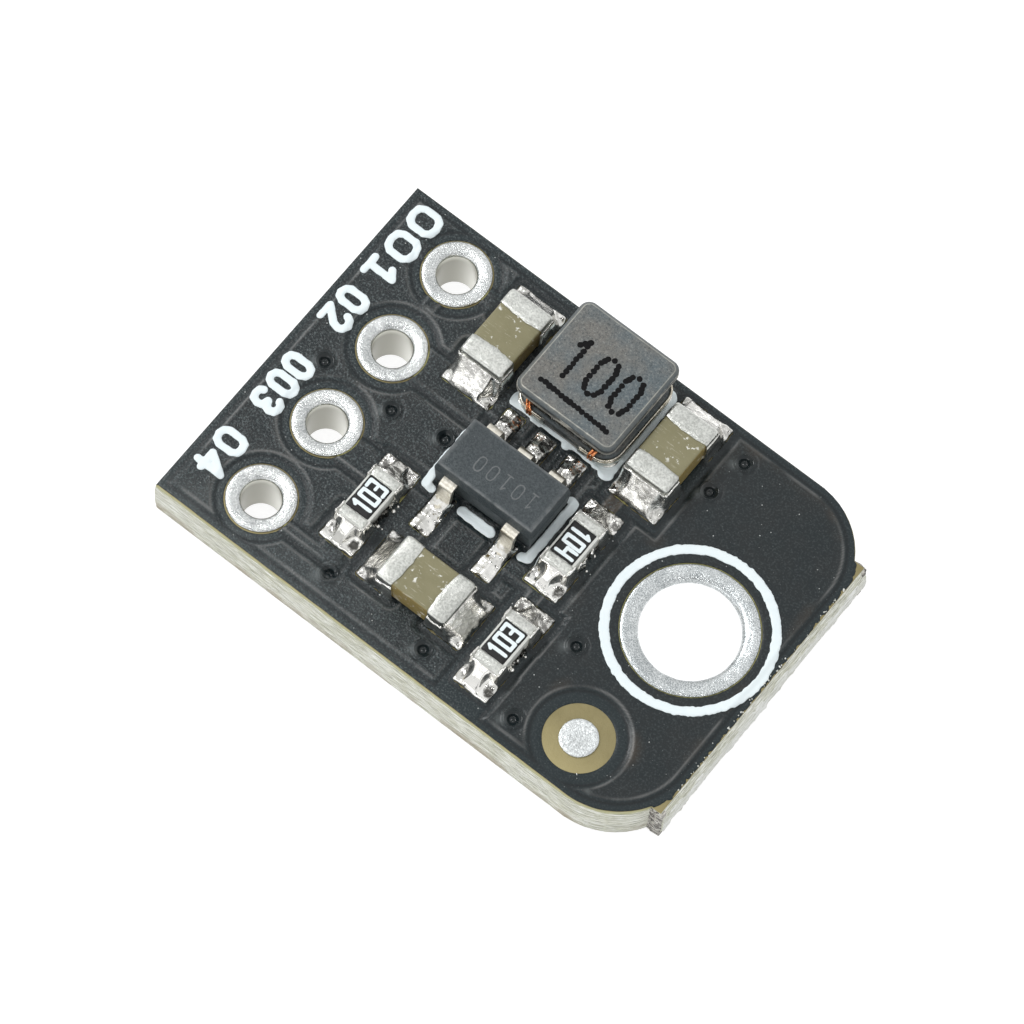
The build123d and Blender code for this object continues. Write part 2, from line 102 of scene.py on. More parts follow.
def rough(x, y, size, seed, octaves=3):
    """Noise from -1 to 1 with features of a size in millimetres."""
    total, weight = 0.0, 0.0
    for i in range(octaves):
        xr, yr = turned(x, y, 0.6 * i)
        total = total + 0.5 ** i * lattice(xr * 2 ** i / size, yr * 2 ** i / size, seed + i)
        weight += 0.5 ** i
    return 2 * total / weight - 1


def smooth(lo, hi, x):
    t = np.clip((x - lo) / (hi - lo), 0, 1)
    return t * t * (3 - 2 * t)


def hump(x, middle, width):
    return np.exp(-((x - middle) / width) ** 2)


def domed(d, reach):
    """Share of a top's height at a distance inside its edge."""
    return np.sqrt(smooth(0.0, -reach, d))


def rolled(d, reach):
    """The same with a quarter circle for its shoulder."""
    return np.sqrt(np.clip(1 - (1 - np.clip(-d / reach, 0, 1)) ** 2, 0, 1))


# Signed distances, negative inside

def about(place, half_x, half_y):
    """Limits of a box round a place."""
    return place[0] - half_x, place[0] + half_x, place[1] - half_y, place[1] + half_y


def box_d(x, y, x0, x1, y0, y1, r=0.0):
    px = np.abs(x - (x0 + x1) / 2) - (x1 - x0) / 2 + r
    py = np.abs(y - (y0 + y1) / 2) - (y1 - y0) / 2 + r
    return np.hypot(np.maximum(px, 0), np.maximum(py, 0)) + np.minimum(np.maximum(px, py), 0) - r


def disc_d(x, y, place, r):
    return np.hypot(x - place[0], y - place[1]) - r


def discs_d(x, y, discs):
    return np.min([disc_d(x, y, disc[:2], disc[2]) for disc in discs], axis=0)


def drilled(d, x, y, places, r):
    """A region without discs at some places."""
    for place in places:
        d = np.maximum(d, -disc_d(x, y, place, r))
    return d


def stroke_d(x, y, points, half):
    """Distance to a line through points, with round ends."""
    parts = []
    for (ax, ay), (bx, by) in zip(points, points[1:]):
        dx, dy = bx - ax, by - ay
        t = np.clip(((x - ax) * dx + (y - ay) * dy) / (dx * dx + dy * dy + 1e-12), 0, 1)
        parts.append(np.hypot(x - ax - t * dx, y - ay - t * dy))
    return np.min(parts, axis=0) - half


def outline_d(x, y, inset):
    """The board's top outline: square at the header edge, round at the far corners."""
    far = box_d(x, y, LEFT + inset - 6, RIGHT - inset, inset - HALF, HALF - inset, CORNER - inset)
    return np.maximum(far, LEFT + inset - x)


def laminate_d(x, y):
    """The laminate's top face, with the nibs beside the snapped edge."""
    return np.minimum(outline_d(x, y, 0.0), box_d(x, y, 5.0, RIGHT, -NIB, NIB))


# Meshes

def join(name, data, look, replaces):
    """An object that rides on the board, with the material of its look."""
    material, slot = LOOKS[look]
    data.materials.append(material)
    obj = bpy.data.objects.new(name, data)
    bpy.context.scene.collection.objects.link(obj)
    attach(obj, "root")
    if replaces:
        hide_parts(*replaces)
    return obj


def piece(name, verts, faces, look, replaces=(), flat=()):
    """A smooth mesh in millimetres, with some flat faces."""
    mesh = bpy.data.meshes.new(name)
    mesh.from_pydata((np.asarray(verts, float) * MM).tolist(), [], [tuple(map(int, f)) for f in faces])
    mesh.validate()
    mesh.shade_smooth()
    if len(flat):
        state = np.ones(len(mesh.polygons), bool)
        state[list(flat)] = False
        mesh.polygons.foreach_set("use_smooth", state)
    return join(name, mesh, look, replaces)


def points_of(obj):
    return (np.array([v.co for v in obj.data.vertices]) / MM).T


def give(obj, name, values):
    """A value that the material reads: one for all vertices, or an array for the first ones."""
    layer = obj.data.attributes.new(name, "FLOAT", "POINT")
    data = np.zeros(len(obj.data.vertices), np.float32)
    data[:np.size(values) if np.ndim(values) else None] = values
    layer.data.foreach_set("value", data)


def contour(dist, x0, x1, y0, y1, step):
    """Flat mesh of the region where dist is negative, with its edge cut along the zero line."""
    nx, ny = int(round((x1 - x0) / step)) + 1, int(round((y1 - y0) / step)) + 1
    xs, ys = np.linspace(x0, x1, nx), np.linspace(y0, y1, ny)
    gx, gy = np.meshgrid(xs, ys, indexing="ij")
    d = dist(gx, gy)
    inside = d < 0
    ids = -np.ones(inside.shape, int)
    ids[inside] = np.arange(inside.sum())
    pts = list(zip(gx[inside], gy[inside]))
    count = inside[:-1, :-1].astype(int) + inside[1:, :-1] + inside[1:, 1:] + inside[:-1, 1:]
    fi, fj = np.nonzero(count == 4)
    faces = np.stack([ids[fi, fj], ids[fi + 1, fj], ids[fi + 1, fj + 1], ids[fi, fj + 1]], 1).tolist()
    cross, rim = {}, []

    def crossing(a, b):
        p, q = key = (min(a, b), max(a, b))
        if key not in cross:
            t = min(max(d[p] / (d[p] - d[q]), 0.06), 0.94)
            cross[key] = len(pts)
            pts.append((xs[p[0]] + t * (xs[q[0]] - xs[p[0]]), ys[p[1]] + t * (ys[q[1]] - ys[p[1]])))
        return cross[key]

    for i, j in zip(*np.nonzero((count > 0) & (count < 4))):
        corners = [(i, j), (i + 1, j), (i + 1, j + 1), (i, j + 1)]
        poly = []
        for a, b in zip(corners, corners[1:] + corners[:1]):
            if inside[a]:
                poly.append((int(ids[a]), "in"))
            if inside[a] != inside[b]:
                poly.append((crossing(a, b), "leaves" if inside[a] else "enters"))
        if len(poly) >= 3:
            faces.append([v for v, _ in poly])
            for (a, mark), (b, after) in zip(poly, poly[1:] + poly[:1]):
                if (mark, after) == ("leaves", "enters"):
                    rim.append((a, b))
    return np.array(pts), faces, rim


def plate(name, dist, bounds, step, top, bottom, look, replaces=()):
    """A closed plate over a region: its top and bottom are numbers, or functions of x, y and dist."""
    pts, faces, rim = contour(dist, *bounds, step)
    x, y = pts.T
    d = dist(x, y)
    levels = [level(x, y, d) if callable(level) else level + 0 * x for level in (top, bottom)]
    verts = np.concatenate([np.column_stack([x, y, z]) for z in levels])
    n = len(pts)
    faces += [[v + n for v in reversed(f)] for f in faces]
    walls = [(a, a + n, b + n, b) for a, b in rim]
    obj = piece(name, verts, faces + walls, look, replaces, range(len(faces), len(faces) + len(walls)))
    return obj, x, y, d


def rounded(w, l, r, corner, side):
    """Points round a rectangle with rounded corners, anticlockwise."""
    r = max(min(r, w / 2 - 1e-4, l / 2 - 1e-4), 1e-4)
    arcs = []
    for k, (sx, sy) in enumerate([(1, 1), (-1, 1), (-1, -1), (1, -1)]):
        a = math.pi / 2 * (k + np.arange(corner + 1) / corner)
        arcs.append(np.column_stack([sx * (w / 2 - r) + r * np.cos(a), sy * (l / 2 - r) + r * np.sin(a)]))
    t = np.arange(1, side)[:, None] / side
    out = []
    for arc, after in zip(arcs, arcs[1:] + arcs[:1]):
        out += [arc, arc[-1] * (1 - t) + after[0] * t]
    return np.concatenate(out)


def skin(n, pairs):
    """Faces between pairs of rings with n points each."""
    sides = [(j, (j + 1) % n) for j in range(n)]
    return [(a * n + j, a * n + k, b * n + k, b * n + j) for a, b in pairs for j, k in sides]


def loft(name, rings, look, replaces=()):
    """A closed skin through rings of equally many points, with its ends drawn in to a point."""
    first, last = rings[0], rings[-1]
    c0, c1 = first.mean(0), last.mean(0)
    rings = [c0 + (first - c0) * k for k in (0.35, 0.7)] + rings
    rings += [c1 + (last - c1) * k for k in (0.93, 0.8, 0.6, 0.4, 0.2)]
    verts = np.concatenate(rings + [rings[0].mean(0)[None], rings[-1].mean(0)[None]])
    n, count = len(first), len(rings)
    faces = skin(n, [(i, i + 1) for i in range(count - 1)])
    for j in range(n):
        k = (j + 1) % n
        faces += [(count * n, k, j), (count * n + 1, (count - 1) * n + j, (count - 1) * n + k)]
    return piece(name, verts, faces, look, replaces)


def block_rings(place, w, l, r, profile, corner, side):
    """Level rings of a rounded block: profile is a list of (inset, z)."""
    rings = []
    for inset, z in profile:
        p = rounded(w - 2 * inset, l - 2 * inset, r - inset, corner, side)
        rings.append(np.column_stack([p + place, np.full(len(p), z)]))
    return rings


def revolve(name, place, profile, look, replaces, seed, count=144, wobble=0.006):
    """A closed ring turned about Z from a closed profile of (r, z), slightly uneven near the top."""
    a = np.linspace(0, 2 * math.pi, count, endpoint=False)
    ca, sa = np.cos(a), np.sin(a)
    verts = []
    for r, z in profile:
        waver = wobble if z > 1.3 else 0.0
        up = rough(ca * r * 3 + 7, sa * r * 3 + 7, 0.5, seed) * waver
        out = rough(ca * r * 2, sa * r * 2 + 3, 0.6, seed + 5) * waver
        verts.append(np.column_stack([place[0] + (r + out) * ca, place[1] + (r + out) * sa, z + up]))
    m = len(profile)
    faces = skin(count, [(i, (i + 1) % m) for i in range(m)])
    return piece(name, np.concatenate(verts), faces, look, replaces)


def tube(name, points, radius, look, replaces=()):
    """A round wire through points in millimetres."""
    curve = bpy.data.curves.new(name, "CURVE")
    curve.dimensions = "3D"
    curve.bevel_depth = radius * MM
    curve.bevel_resolution = 3
    curve.use_fill_caps = True
    spline = curve.splines.new("NURBS")
    spline.points.add(len(points) - 1)
    for point, p in zip(spline.points, points):
        point.co = (*(v * MM for v in p), 1)
    spline.order_u = 3
    spline.use_endpoint_u = True
    return join(name, curve, look, replaces)


def grid_block(name, front, back, look, flip):
    """A closed block between two grids of points."""
    m, n = front.shape[:2]
    verts = np.vstack([front.reshape(-1, 3), back.reshape(-1, 3)])
    faces, half = [], m * n
    for i in range(m - 1):
        for j in range(n - 1):
            q = (i * n + j, (i + 1) * n + j, (i + 1) * n + j + 1, i * n + j + 1)
            faces += [q, tuple(v + half for v in reversed(q))]
    edge = [i * n for i in range(m)] + [(m - 1) * n + j for j in range(1, n)]
    edge += [i * n + n - 1 for i in range(m - 2, -1, -1)] + list(range(n - 2, 0, -1))
    faces += [(a, a + half, b + half, b) for a, b in zip(edge, edge[1:] + edge[:1])]
    if flip:
        faces = [tuple(reversed(f)) for f in faces]
    return piece(name, verts, faces, look)


def dotted(lines, gap):
    """Dots spaced along lines, as a stamp prints them."""
    dots = []
    for line in lines:
        for (ax, ay), (bx, by) in zip(line, line[1:]):
            count = max(int(round(math.hypot(bx - ax, by - ay) / gap)), 1)
            dots += [(ax + (bx - ax) * i / count, ay + (by - ay) * i / count) for i in range(count)]
        dots.append(line[-1])
    return dots


def place_chip(chip, pts, level):
    """Points in a chip's own axes (along, across, up) moved onto the board."""
    (px, py), turn, (ox, oy) = chip
    along, across, up = np.asarray(pts, float).T
    x, y = turned(along, across, math.radians(turn))
    return np.column_stack([x + px + ox, y + py + oy, up + level])


# Shader nodes

def plug(tree, socket, value):
    """Links a node or an output to a socket, or sets the socket's own value."""
    if isinstance(value, bpy.types.Node):
        value = value.outputs[0]
    if isinstance(value, bpy.types.NodeSocket):
        tree.links.new(value, socket)
    elif value is not None:
        socket.default_value = (*value, 1) if socket.type == "RGBA" else value


def add(tree, kind, *inputs, **values):
    """A node with its settings, and what goes into its inputs in their order."""
    node = tree.nodes.new("ShaderNode" + kind)
    for key, value in values.items():
        setattr(node, key, value)
    for socket, value in zip(node.inputs, inputs):
        plug(tree, socket, value)
    return node


def ramp(tree, value, stops):
    """Grey levels or colours at places along a value."""
    node = add(tree, "ValToRGB", value)
    elements = node.color_ramp.elements
    while len(elements) < len(stops):
        elements.new(0.5)
    for element, (place, colour) in zip(elements, stops):
        element.position = place
        element.color = (*colour, 1) if isinstance(colour, tuple) else (colour, colour, colour, 1)
    return node.outputs[0]


def mixed(tree, fac, a, b, blend="MIX"):
    unused = [None] * 5
    return add(tree, "Mix", fac, *unused, a, b, data_type="RGBA", blend_type=blend).outputs[2]


class Look:
    """A node material whose coordinates are the board's own, in millimetres."""

    def __init__(self, name, roughness=0.5, metal=0.0, spec=0.5):
        self.mat = bpy.data.materials.new(name)
        self.mat.use_nodes = True
        self.tree = self.mat.node_tree
        self.shader = self.tree.nodes["Principled BSDF"].inputs
        self.shader["Roughness"].default_value = roughness
        self.shader["Metallic"].default_value = metal
        self.shader["Specular IOR Level"].default_value = spec
        self.coords = self.add("TexCoord").outputs["Object"]
        self.base = self.normal = None

    def add(self, kind, *inputs, **values):
        return add(self.tree, kind, *inputs, **values)

    def space(self, scale=(1, 1, 1), turn=(0, 0, 0)):
        return self.add("Mapping", self.coords, None, turn, [s / MM for s in scale]).outputs[0]

    def noise(self, scale, detail=3.0, roughness=0.55, stretch=(1, 1, 1), turn=(0, 0, 0)):
        return self.add("TexNoise", self.space(stretch, turn), None, scale, detail, roughness).outputs["Fac"]

    def cells(self, scale):
        return self.add("TexVoronoi", self.space(), None, scale).outputs["Distance"]

    def attr(self, name):
        return self.add("Attribute", attribute_name=name).outputs["Fac"]

    def ramp(self, value, *stops):
        return ramp(self.tree, value, stops)

    def mix(self, fac, a, b):
        return mixed(self.tree, fac, a, b)

    def lay(self, fac, colour):
        """Another colour over the base."""
        self.base = self.mix(fac, self.base, colour)

    def math(self, op, a, b=0.5, c=0.0):
        return self.add("Math", a, b, c, operation=op).outputs[0]

    def times(self, a, b):
        return self.math("MULTIPLY", a, b)

    def axis(self, which):
        return self.add("SeparateXYZ", self.space()).outputs[which]

    def upward(self):
        return self.add("SeparateXYZ", self.add("NewGeometry").outputs["Normal"]).outputs[2]

    def level(self):
        return self.math("ABSOLUTE", self.upward())

    def bump(self, height, depth, strength=1.0):
        node = self.add("Bump")
        values = {"Strength": strength, "Distance": depth * MM, "Height": height, "Normal": self.normal}
        for name, value in values.items():
            plug(self.tree, node.inputs[name], value)
        self.normal = node.outputs[0]

    def roughness(self, value, lo, hi):
        plug(self.tree, self.shader["Roughness"], self.add("MapRange", value, None, None, lo, hi))

    def done(self):
        plug(self.tree, self.shader["Base Color"], self.base)
        plug(self.tree, self.shader["Normal"], self.normal)
        return self.mat


# Materials

def look_mask():
    m = Look("solder_mask", 0.4, 0.0, 0.42)
    tone = m.noise(1.4, 4)
    warm = m.mix(m.ramp(tone, (0.35, 0.0), (0.65, 1.0)), (0.006, 0.0115, 0.0135), (0.010, 0.0135, 0.0145))
    cold = m.mix(tone, (0.005, 0.0125, 0.0150), (0.009, 0.0175, 0.0200))
    m.base = m.mix(m.attr("copper"), cold, warm)
    m.lay(m.attr("rim"), (0.075, 0.050, 0.028))
    # Painted sheen: a pale smear beside each via, one pale spot and a brighter front left area.
    m.lay(m.attr("painted_sheen"), (0.12, 0.135, 0.135))
    grain = m.math("SUBTRACT", 1.0, m.attr("calm"))
    # Pale dots where the grain is strong are painted glints.
    spot = m.ramp(m.noise(19.0, 3, 0.65), (0.50, 0.0), (0.66, 0.9))
    m.lay(m.times(spot, grain), (0.085, 0.105, 0.108))
    # Lighter lines over the copper's edges: partly thinner mask, partly a painted highlight.
    m.lay(m.attr("line"), (0.21, 0.21, 0.205))
    # A dark line at the foot of each copper step is painted shade.
    m.lay(m.attr("painted_groove_shade"), (0.002, 0.004, 0.005))
    speck = m.ramp(m.cells(4.0), (0.0, 1.0), (0.045, 0.9), (0.07, 0.0))
    m.lay(m.times(speck, m.ramp(m.noise(2.6, 1), (0.46, 0.0), (0.52, 0.9))), (0.55, 0.57, 0.56))
    fine = m.ramp(m.cells(11.0), (0.0, 0.6), (0.08, 0.4), (0.12, 0.0))
    m.lay(m.times(fine, m.ramp(m.noise(5.0, 1), (0.48, 0.0), (0.56, 0.8))), (0.25, 0.27, 0.27))
    dull = m.math("MULTIPLY_ADD", m.noise(6, 3), 0.20, 0.22)
    m.roughness(m.math("MULTIPLY_ADD", m.attr("wet"), -0.24, dull), 0.0, 1.0)
    m.bump(m.noise(20.0, 2, 0.6), 0.019, grain)
    return m.done()


def look_laminate():
    m = Look("laminate", 0.55)
    tan = m.mix(m.noise(2.2, 4), (0.20, 0.165, 0.065), (0.30, 0.255, 0.12))
    far = m.ramp(m.math("MULTIPLY_ADD", m.axis(1), 0.8, 3.9), (0.0, 1.0), (1.0, 0.0))
    tan = m.mix(far, tan, (0.40, 0.34, 0.16))
    hidden = m.math("MAXIMUM", m.math("GREATER_THAN", m.axis(1), 4.9), m.math("LESS_THAN", m.axis(0), -7.3))
    tan = m.mix(hidden, tan, (0.045, 0.052, 0.048))
    band = m.noise(5.0, 3, 0.6, (0.14, 0.14, 2.4))
    streak = m.noise(17.0, 2, 0.65, (0.16, 0.16, 2.6))
    fine = m.noise(11.0, 2, 0.6, (0.22, 0.22, 3.4))
    cloud = m.noise(1.6, 3, stretch=(0.6, 0.6, 1.4))
    m.base = m.mix(m.ramp(band, (0.40, 0.0), (0.60, 1.0)), (0.54, 0.55, 0.43), (0.78, 0.79, 0.70))
    m.lay(m.ramp(cloud, (0.42, 0.0), (0.66, 0.5)), (0.58, 0.58, 0.42))
    m.lay(m.ramp(streak, (0.54, 0.0), (0.60, 0.85)), (0.30, 0.30, 0.23))
    m.lay(m.ramp(streak, (0.40, 1.0), (0.46, 0.0)), (0.98, 0.99, 0.94))
    m.lay(m.ramp(fine, (0.58, 0.0), (0.66, 0.6)), (0.98, 0.98, 0.94))
    # Brown patches, stronger towards the bottom of the side.
    brown_cloud = m.ramp(m.noise(1.2, 3), (0.45, 0.0), (0.6, 1.0))
    m.lay(m.times(m.ramp(m.axis(2), (0.1, 0.8), (0.5, 0.0)), brown_cloud), (0.36, 0.30, 0.21))
    wave = m.noise(2.2, 4, 0.7, (1, 1, 0.2))
    strip = m.math("GREATER_THAN", m.math("MULTIPLY_ADD", wave, 0.20, m.axis(2)), 1.50)
    strip = m.times(strip, m.math("LESS_THAN", m.axis(0), 7.2))
    m.lay(m.times(strip, 0.8), (0.45, 0.44, 0.19))
    m.lay(m.math("GREATER_THAN", m.upward(), 0.8), tan)
    m.roughness(streak, 0.45, 0.75)
    m.bump(streak, 0.03)
    m.bump(m.noise(30, 3), 0.010)
    return m.done()


def look_tin(name, grain, depth, lo, hi, dark, light, wall_tone=(0.93, 0.93, 0.92), pits=0.0):
    """Tinned metal; a hole's wall has a tone of its own and can be shaded."""
    m = Look(name, 0.25, 1.0)
    patch = m.ramp(m.noise(grain * 1.2, 2, 0.6), (0.38, 0.0), (0.60, 1.0))
    patch = m.mix(0.35, patch, m.ramp(m.noise(2.2, 3), (0.36, 0.0), (0.62, 1.0)))
    m.base = m.mix(patch, dark, light)
    m.lay(m.ramp(m.noise(grain * 1.7, 3, 0.75), (0.36, pits), (0.47, 0.0)), dark)
    wall = m.times(m.math("LESS_THAN", m.level(), 0.25), m.attr("bore"))
    m.lay(wall, wall_tone)
    m.lay(m.attr("shade"), (0.23, 0.225, 0.185))
    m.roughness(m.math("MAXIMUM", m.noise(grain * 0.4, 3), wall), lo, hi)
    flatness = m.math("MULTIPLY_ADD", m.level(), 0.97, 0.03)
    m.bump(m.noise(grain * 1.4, 3, 0.65), depth, flatness)
    return m.done()


def look_solder():
    m = Look("solder", 0.12, 1.0)
    cloud = m.ramp(m.noise(1.8, 3, 0.55), (0.38, 0.0), (0.52, 1.0))
    m.base = m.mix(cloud, (0.68, 0.675, 0.64), (0.95, 0.94, 0.90))
    crumple = m.attr("crumple")
    fleck = m.ramp(m.noise(6.5, 3, 0.65), (0.42, 0.0), (0.56, 1.0))
    m.lay(m.times(crumple, fleck), (0.16, 0.155, 0.145))
    # Dark blots: flux residue, and in the hollows beside a joint's ridge a painted dark reflection of the
    # board.
    dark_flux_and_reflection = m.math("MULTIPLY_ADD", m.noise(13, 3, 0.7), 1.3, m.attr("flux_and_painted_reflection"))
    m.lay(m.ramp(m.math("SUBTRACT", dark_flux_and_reflection, 0.95), (0.16, 0.0), (0.62, 1.0)), (0.10, 0.097, 0.088))
    m.roughness(m.ramp(m.noise(2.4, 3), (0.40, 0.0), (0.62, 1.0)), 0.05, 0.26)
    m.bump(m.noise(3.2, 2, 0.45), 0.012)
    m.bump(m.noise(6.5, 3, 0.65), 0.040, crumple)
    m.bump(m.noise(22, 2, 0.6), 0.0025)
    return m.done()


def look_moulding():
    m = Look("moulding", 0.6, 0.0, 0.5)
    fine = m.noise(21, 3, 0.75)
    m.base = m.mix(m.ramp(fine, (0.38, 0.0), (0.66, 1.0)), (0.020, 0.031, 0.036), (0.074, 0.088, 0.094))
    m.lay(m.ramp(m.noise(1.1, 3), (0.3, 0.35), (0.7, 0.0)), (0.020, 0.027, 0.031))
    # Pale marks: the number's print, and a painted highlight along the case's top edge.
    m.lay(m.attr("pale_mark_and_highlight"), (0.24, 0.25, 0.25))
    speck = m.ramp(m.cells(9.0), (0.0, 0.8), (0.09, 0.0))
    m.lay(m.times(speck, m.ramp(m.noise(4, 1), (0.52, 0.0), (0.6, 0.8))), (0.36, 0.37, 0.36))
    m.roughness(fine, 0.38, 0.62)
    m.bump(m.noise(24, 3, 0.75), 0.012)
    return m.done()


def look_ferrite():
    m = Look("ferrite", 0.55, 0.0, 0.5)
    grain = m.noise(20, 3, 0.75)
    cloud = m.ramp(m.noise(0.8, 4), (0.40, 0.0), (0.62, 1.0))
    m.base = m.mix(cloud, (0.098, 0.124, 0.134), (0.150, 0.146, 0.132))
    m.lay(m.ramp(grain, (0.34, 0.8), (0.48, 0.0)), (0.034, 0.043, 0.048))
    m.lay(m.ramp(grain, (0.56, 0.0), (0.68, 0.6)), (0.32, 0.325, 0.31))
    m.lay(m.ramp(m.noise(2.6, 3), (0.64, 0.0), (0.76, 0.4)), (0.22, 0.23, 0.23))
    scrape = m.ramp(m.noise(4.5, 4, 0.7, (0.35, 0.35, 3.5)), (0.52, 0.0), (0.60, 0.9))
    flank = m.math("LESS_THAN", m.level(), 0.5)
    m.lay(flank, (0.040, 0.046, 0.048))
    m.lay(m.times(scrape, flank), (0.50, 0.48, 0.42))
    slope = m.times(m.math("LESS_THAN", m.upward(), 0.93), m.math("GREATER_THAN", m.upward(), 0.5))
    m.lay(m.times(slope, 0.6), (0.050, 0.066, 0.074))
    # Pale chipped edges, with a painted highlight along the top edge.
    m.lay(m.attr("pale_mark_and_highlight"), (0.62, 0.60, 0.52))
    m.roughness(grain, 0.32, 0.6)
    m.bump(m.noise(24, 3, 0.75), 0.011)
    return m.done()


def look_ceramic():
    m = Look("capacitor_ceramic", 0.42, 0.0, 0.5)
    m.base = m.mix(m.noise(2.4, 4, 0.6), (0.185, 0.170, 0.085), (0.255, 0.235, 0.135))
    m.lay(m.math("LESS_THAN", m.upward(), 0.5), (0.25, 0.19, 0.065))
    scratch = m.noise(2.4, 4, 0.75, (1.0, 9.0, 1.0), (0, 0, 0.6))
    m.lay(m.ramp(scratch, (0.60, 0.0), (0.66, 0.55)), (0.55, 0.53, 0.43))
    chip = m.ramp(m.noise(7.0, 3), (0.60, 0.0), (0.64, 1.0))
    m.lay(m.times(chip, m.ramp(m.noise(2.2, 1), (0.52, 0.0), (0.58, 0.9))), (0.78, 0.78, 0.72))
    m.roughness(m.noise(8, 3), 0.25, 0.5)
    m.bump(m.noise(12, 3), 0.008)
    return m.done()


def look_fibre():
    m = Look("broken_fibre", 0.7, 0.0, 0.3)
    strand = m.noise(6, 4, 0.7, (1, 0.25, 2.6))
    m.base = m.mix(m.ramp(strand, (0.38, 0.0), (0.58, 1.0)), (0.66, 0.67, 0.59), (0.94, 0.95, 0.92))
    m.lay(m.ramp(m.noise(9, 3, stretch=(1, 0.5, 1)), (0.58, 0.0), (0.70, 0.45)), (0.40, 0.40, 0.33))
    off = m.math("SUBTRACT", m.noise(5.0, 4, 0.6, (1, 1, 1.6)), 0.5)
    lines = m.ramp(m.math("ABSOLUTE", off), (0.0, 1.0), (0.040, 0.6), (0.075, 0.0))
    brown = m.mix(m.ramp(strand, (0.35, 0.0), (0.6, 1.0)), (0.30, 0.27, 0.23), (0.76, 0.75, 0.70))
    m.lay(m.attr("torn"), m.mix(lines, brown, (0.035, 0.030, 0.028)))
    m.roughness(strand, 0.55, 0.85)
    m.bump(strand, 0.05)
    m.bump(m.noise(28, 3), 0.012)
    return m.done()


def look_plain(name, shader, cloud, dark, light, sheen, relief=None):
    """Two close colours in a cloud, an uneven sheen and a fine relief, each with its noise."""
    m = Look(name, *shader)
    m.base = m.mix(m.noise(*cloud), dark, light)
    m.roughness(m.noise(*sheen[:2]), *sheen[2:])
    if relief:
        m.bump(m.noise(*relief[:2]), relief[2])
    return m.done()


# Each look's material and slot
LOOKS = {
    "mask": (look_mask(), "solder_mask"),
    "laminate": (look_laminate(), "laminate"),
    "ink": (look_plain("legend_ink", (0.6, 0.0, 0.35), (5, 3), (0.745, 0.84, 0.865), (0.845, 0.905, 0.92),
                       (12, 3, 0.5, 0.75), (14, 3, 0.004)), "legend_ink"),
    "ring": (look_tin("tinned_copper", 21.0, 0.010, 0.14, 0.34, (0.44, 0.46, 0.46), (0.90, 0.92, 0.91),
                      (0.90, 0.90, 0.84), 0.9), "tinned_copper"),
    "wide_ring": (look_tin("plated_edge", 23.0, 0.007, 0.14, 0.34, (0.34, 0.37, 0.38), (0.90, 0.93, 0.93),
                           (1.0, 1.0, 1.0), 1.0), "tinned_copper"),
    "fiducial": (look_tin("fiducial_tin", 18.0, 0.016, 0.3, 0.5, (0.48, 0.50, 0.50), (0.78, 0.81, 0.81)),
                 "tinned_copper"),
    "lead": (look_tin("lead_plating", 14.0, 0.005, 0.25, 0.45, (0.66, 0.62, 0.52), (0.90, 0.87, 0.78)), ""),
    "cap": (look_tin("terminal_plating", 15.0, 0.010, 0.22, 0.42, (0.46, 0.47, 0.44), (0.76, 0.77, 0.73)),
            "terminal_plating"),
    "plating": (look_tin("base_plating", 12.0, 0.010, 0.15, 0.35, (0.45, 0.40, 0.30), (0.92, 0.88, 0.78)),
                "terminal_plating"),
    "solder": (look_solder(), "solder"),
    "moulding": (look_moulding(), "moulding"),
    "ferrite": (look_ferrite(), "ferrite"),
    "resin": (look_plain("resin", (0.12, 0.0, 0.6), (3, 3), (0.008, 0.008, 0.007), (0.030, 0.027, 0.020),
                         (5, 2, 0.08, 0.25), (3.5, 3, 0.03)), "resin"),
    "wire": (look_plain("wire", (0.22, 1.0), (9, 2), (0.62, 0.20, 0.06), (0.95, 0.42, 0.20),
                        (14, 2, 0.15, 0.35), (40, 2, 0.002)), "wire"),
    "ceramic": (look_ceramic(), "capacitor_ceramic"),
    "alumina": (look_plain("alumina", (0.5, 0.0, 0.4), (6, 3), (0.52, 0.53, 0.49), (0.74, 0.75, 0.72),
                           (9, 3, 0.4, 0.65), (20, 3, 0.006)), "alumina"),
    "overcoat": (look_plain("overcoat", (0.4, 0.0, 0.4), (5, 3), (0.004, 0.004, 0.0045),
                            (0.014, 0.014, 0.014), (9, 3, 0.35, 0.55), (10, 3, 0.006)), "overcoat"),
    "dots": (look_plain("dot_ink", (0.5, 0.0, 0.12), (10, 3), (0.002, 0.002, 0.002), (0.007, 0.007, 0.008),
                        (12, 2, 0.4, 0.6), (14, 2, 0.004)), "ferrite"),
    "fibre": (look_fibre(), "laminate"),
    "copper": (look_plain("copper", (0.3, 1.0), (5, 3), (0.55, 0.24, 0.12), (0.8, 0.4, 0.24),
                          (8, 2, 0.25, 0.45), (20, 2, 0.003)), "copper"),
    "pad_edge": (look_plain("pad_edge", (0.45, 0.6), (6, 3), (0.19, 0.18, 0.07), (0.36, 0.34, 0.14),
                            (8, 2, 0.35, 0.55), (20, 2, 0.003)), "copper"),
    "silicon": (look_plain("silicon", (0.2, 0.4), (9, 2), (0.05, 0.05, 0.06), (0.12, 0.12, 0.14),
                           (8, 2, 0.15, 0.3)), ""),
}


# Relief of the board. Tracks, places without copper and the island are limits of boxes

TRACKS = [(-5.12, -2.4, 0.98, 1.9), (-2.4, -1.2, 1.45, 2.3), (-5.12, -2.5, -1.8, -1.03),
          (-2.5, -1.49, -2.6, -1.25), (-5.12, -2.6, -4.08, -3.82), (-3.3, -2.7, -3.9, -3.3),
          (0.2, 1.6, -1.57, -1.15), (1.35, 1.75, -2.2, -1.0), (1.35, 1.75, 1.1, 1.9),
          (0.1, 1.3, 2.2, 2.6)]
BARE = [(1.0, 2.53, -5.2, -1.5), (1.0, 2.3, -1.6, 1.45), (1.0, 2.9, 1.4, 5.2), (-1.42, -0.06, -2.35, -0.85)]
ISLAND = (-1.15, -0.25, -2.15, -1.2)
CLEARANCE = 0.22


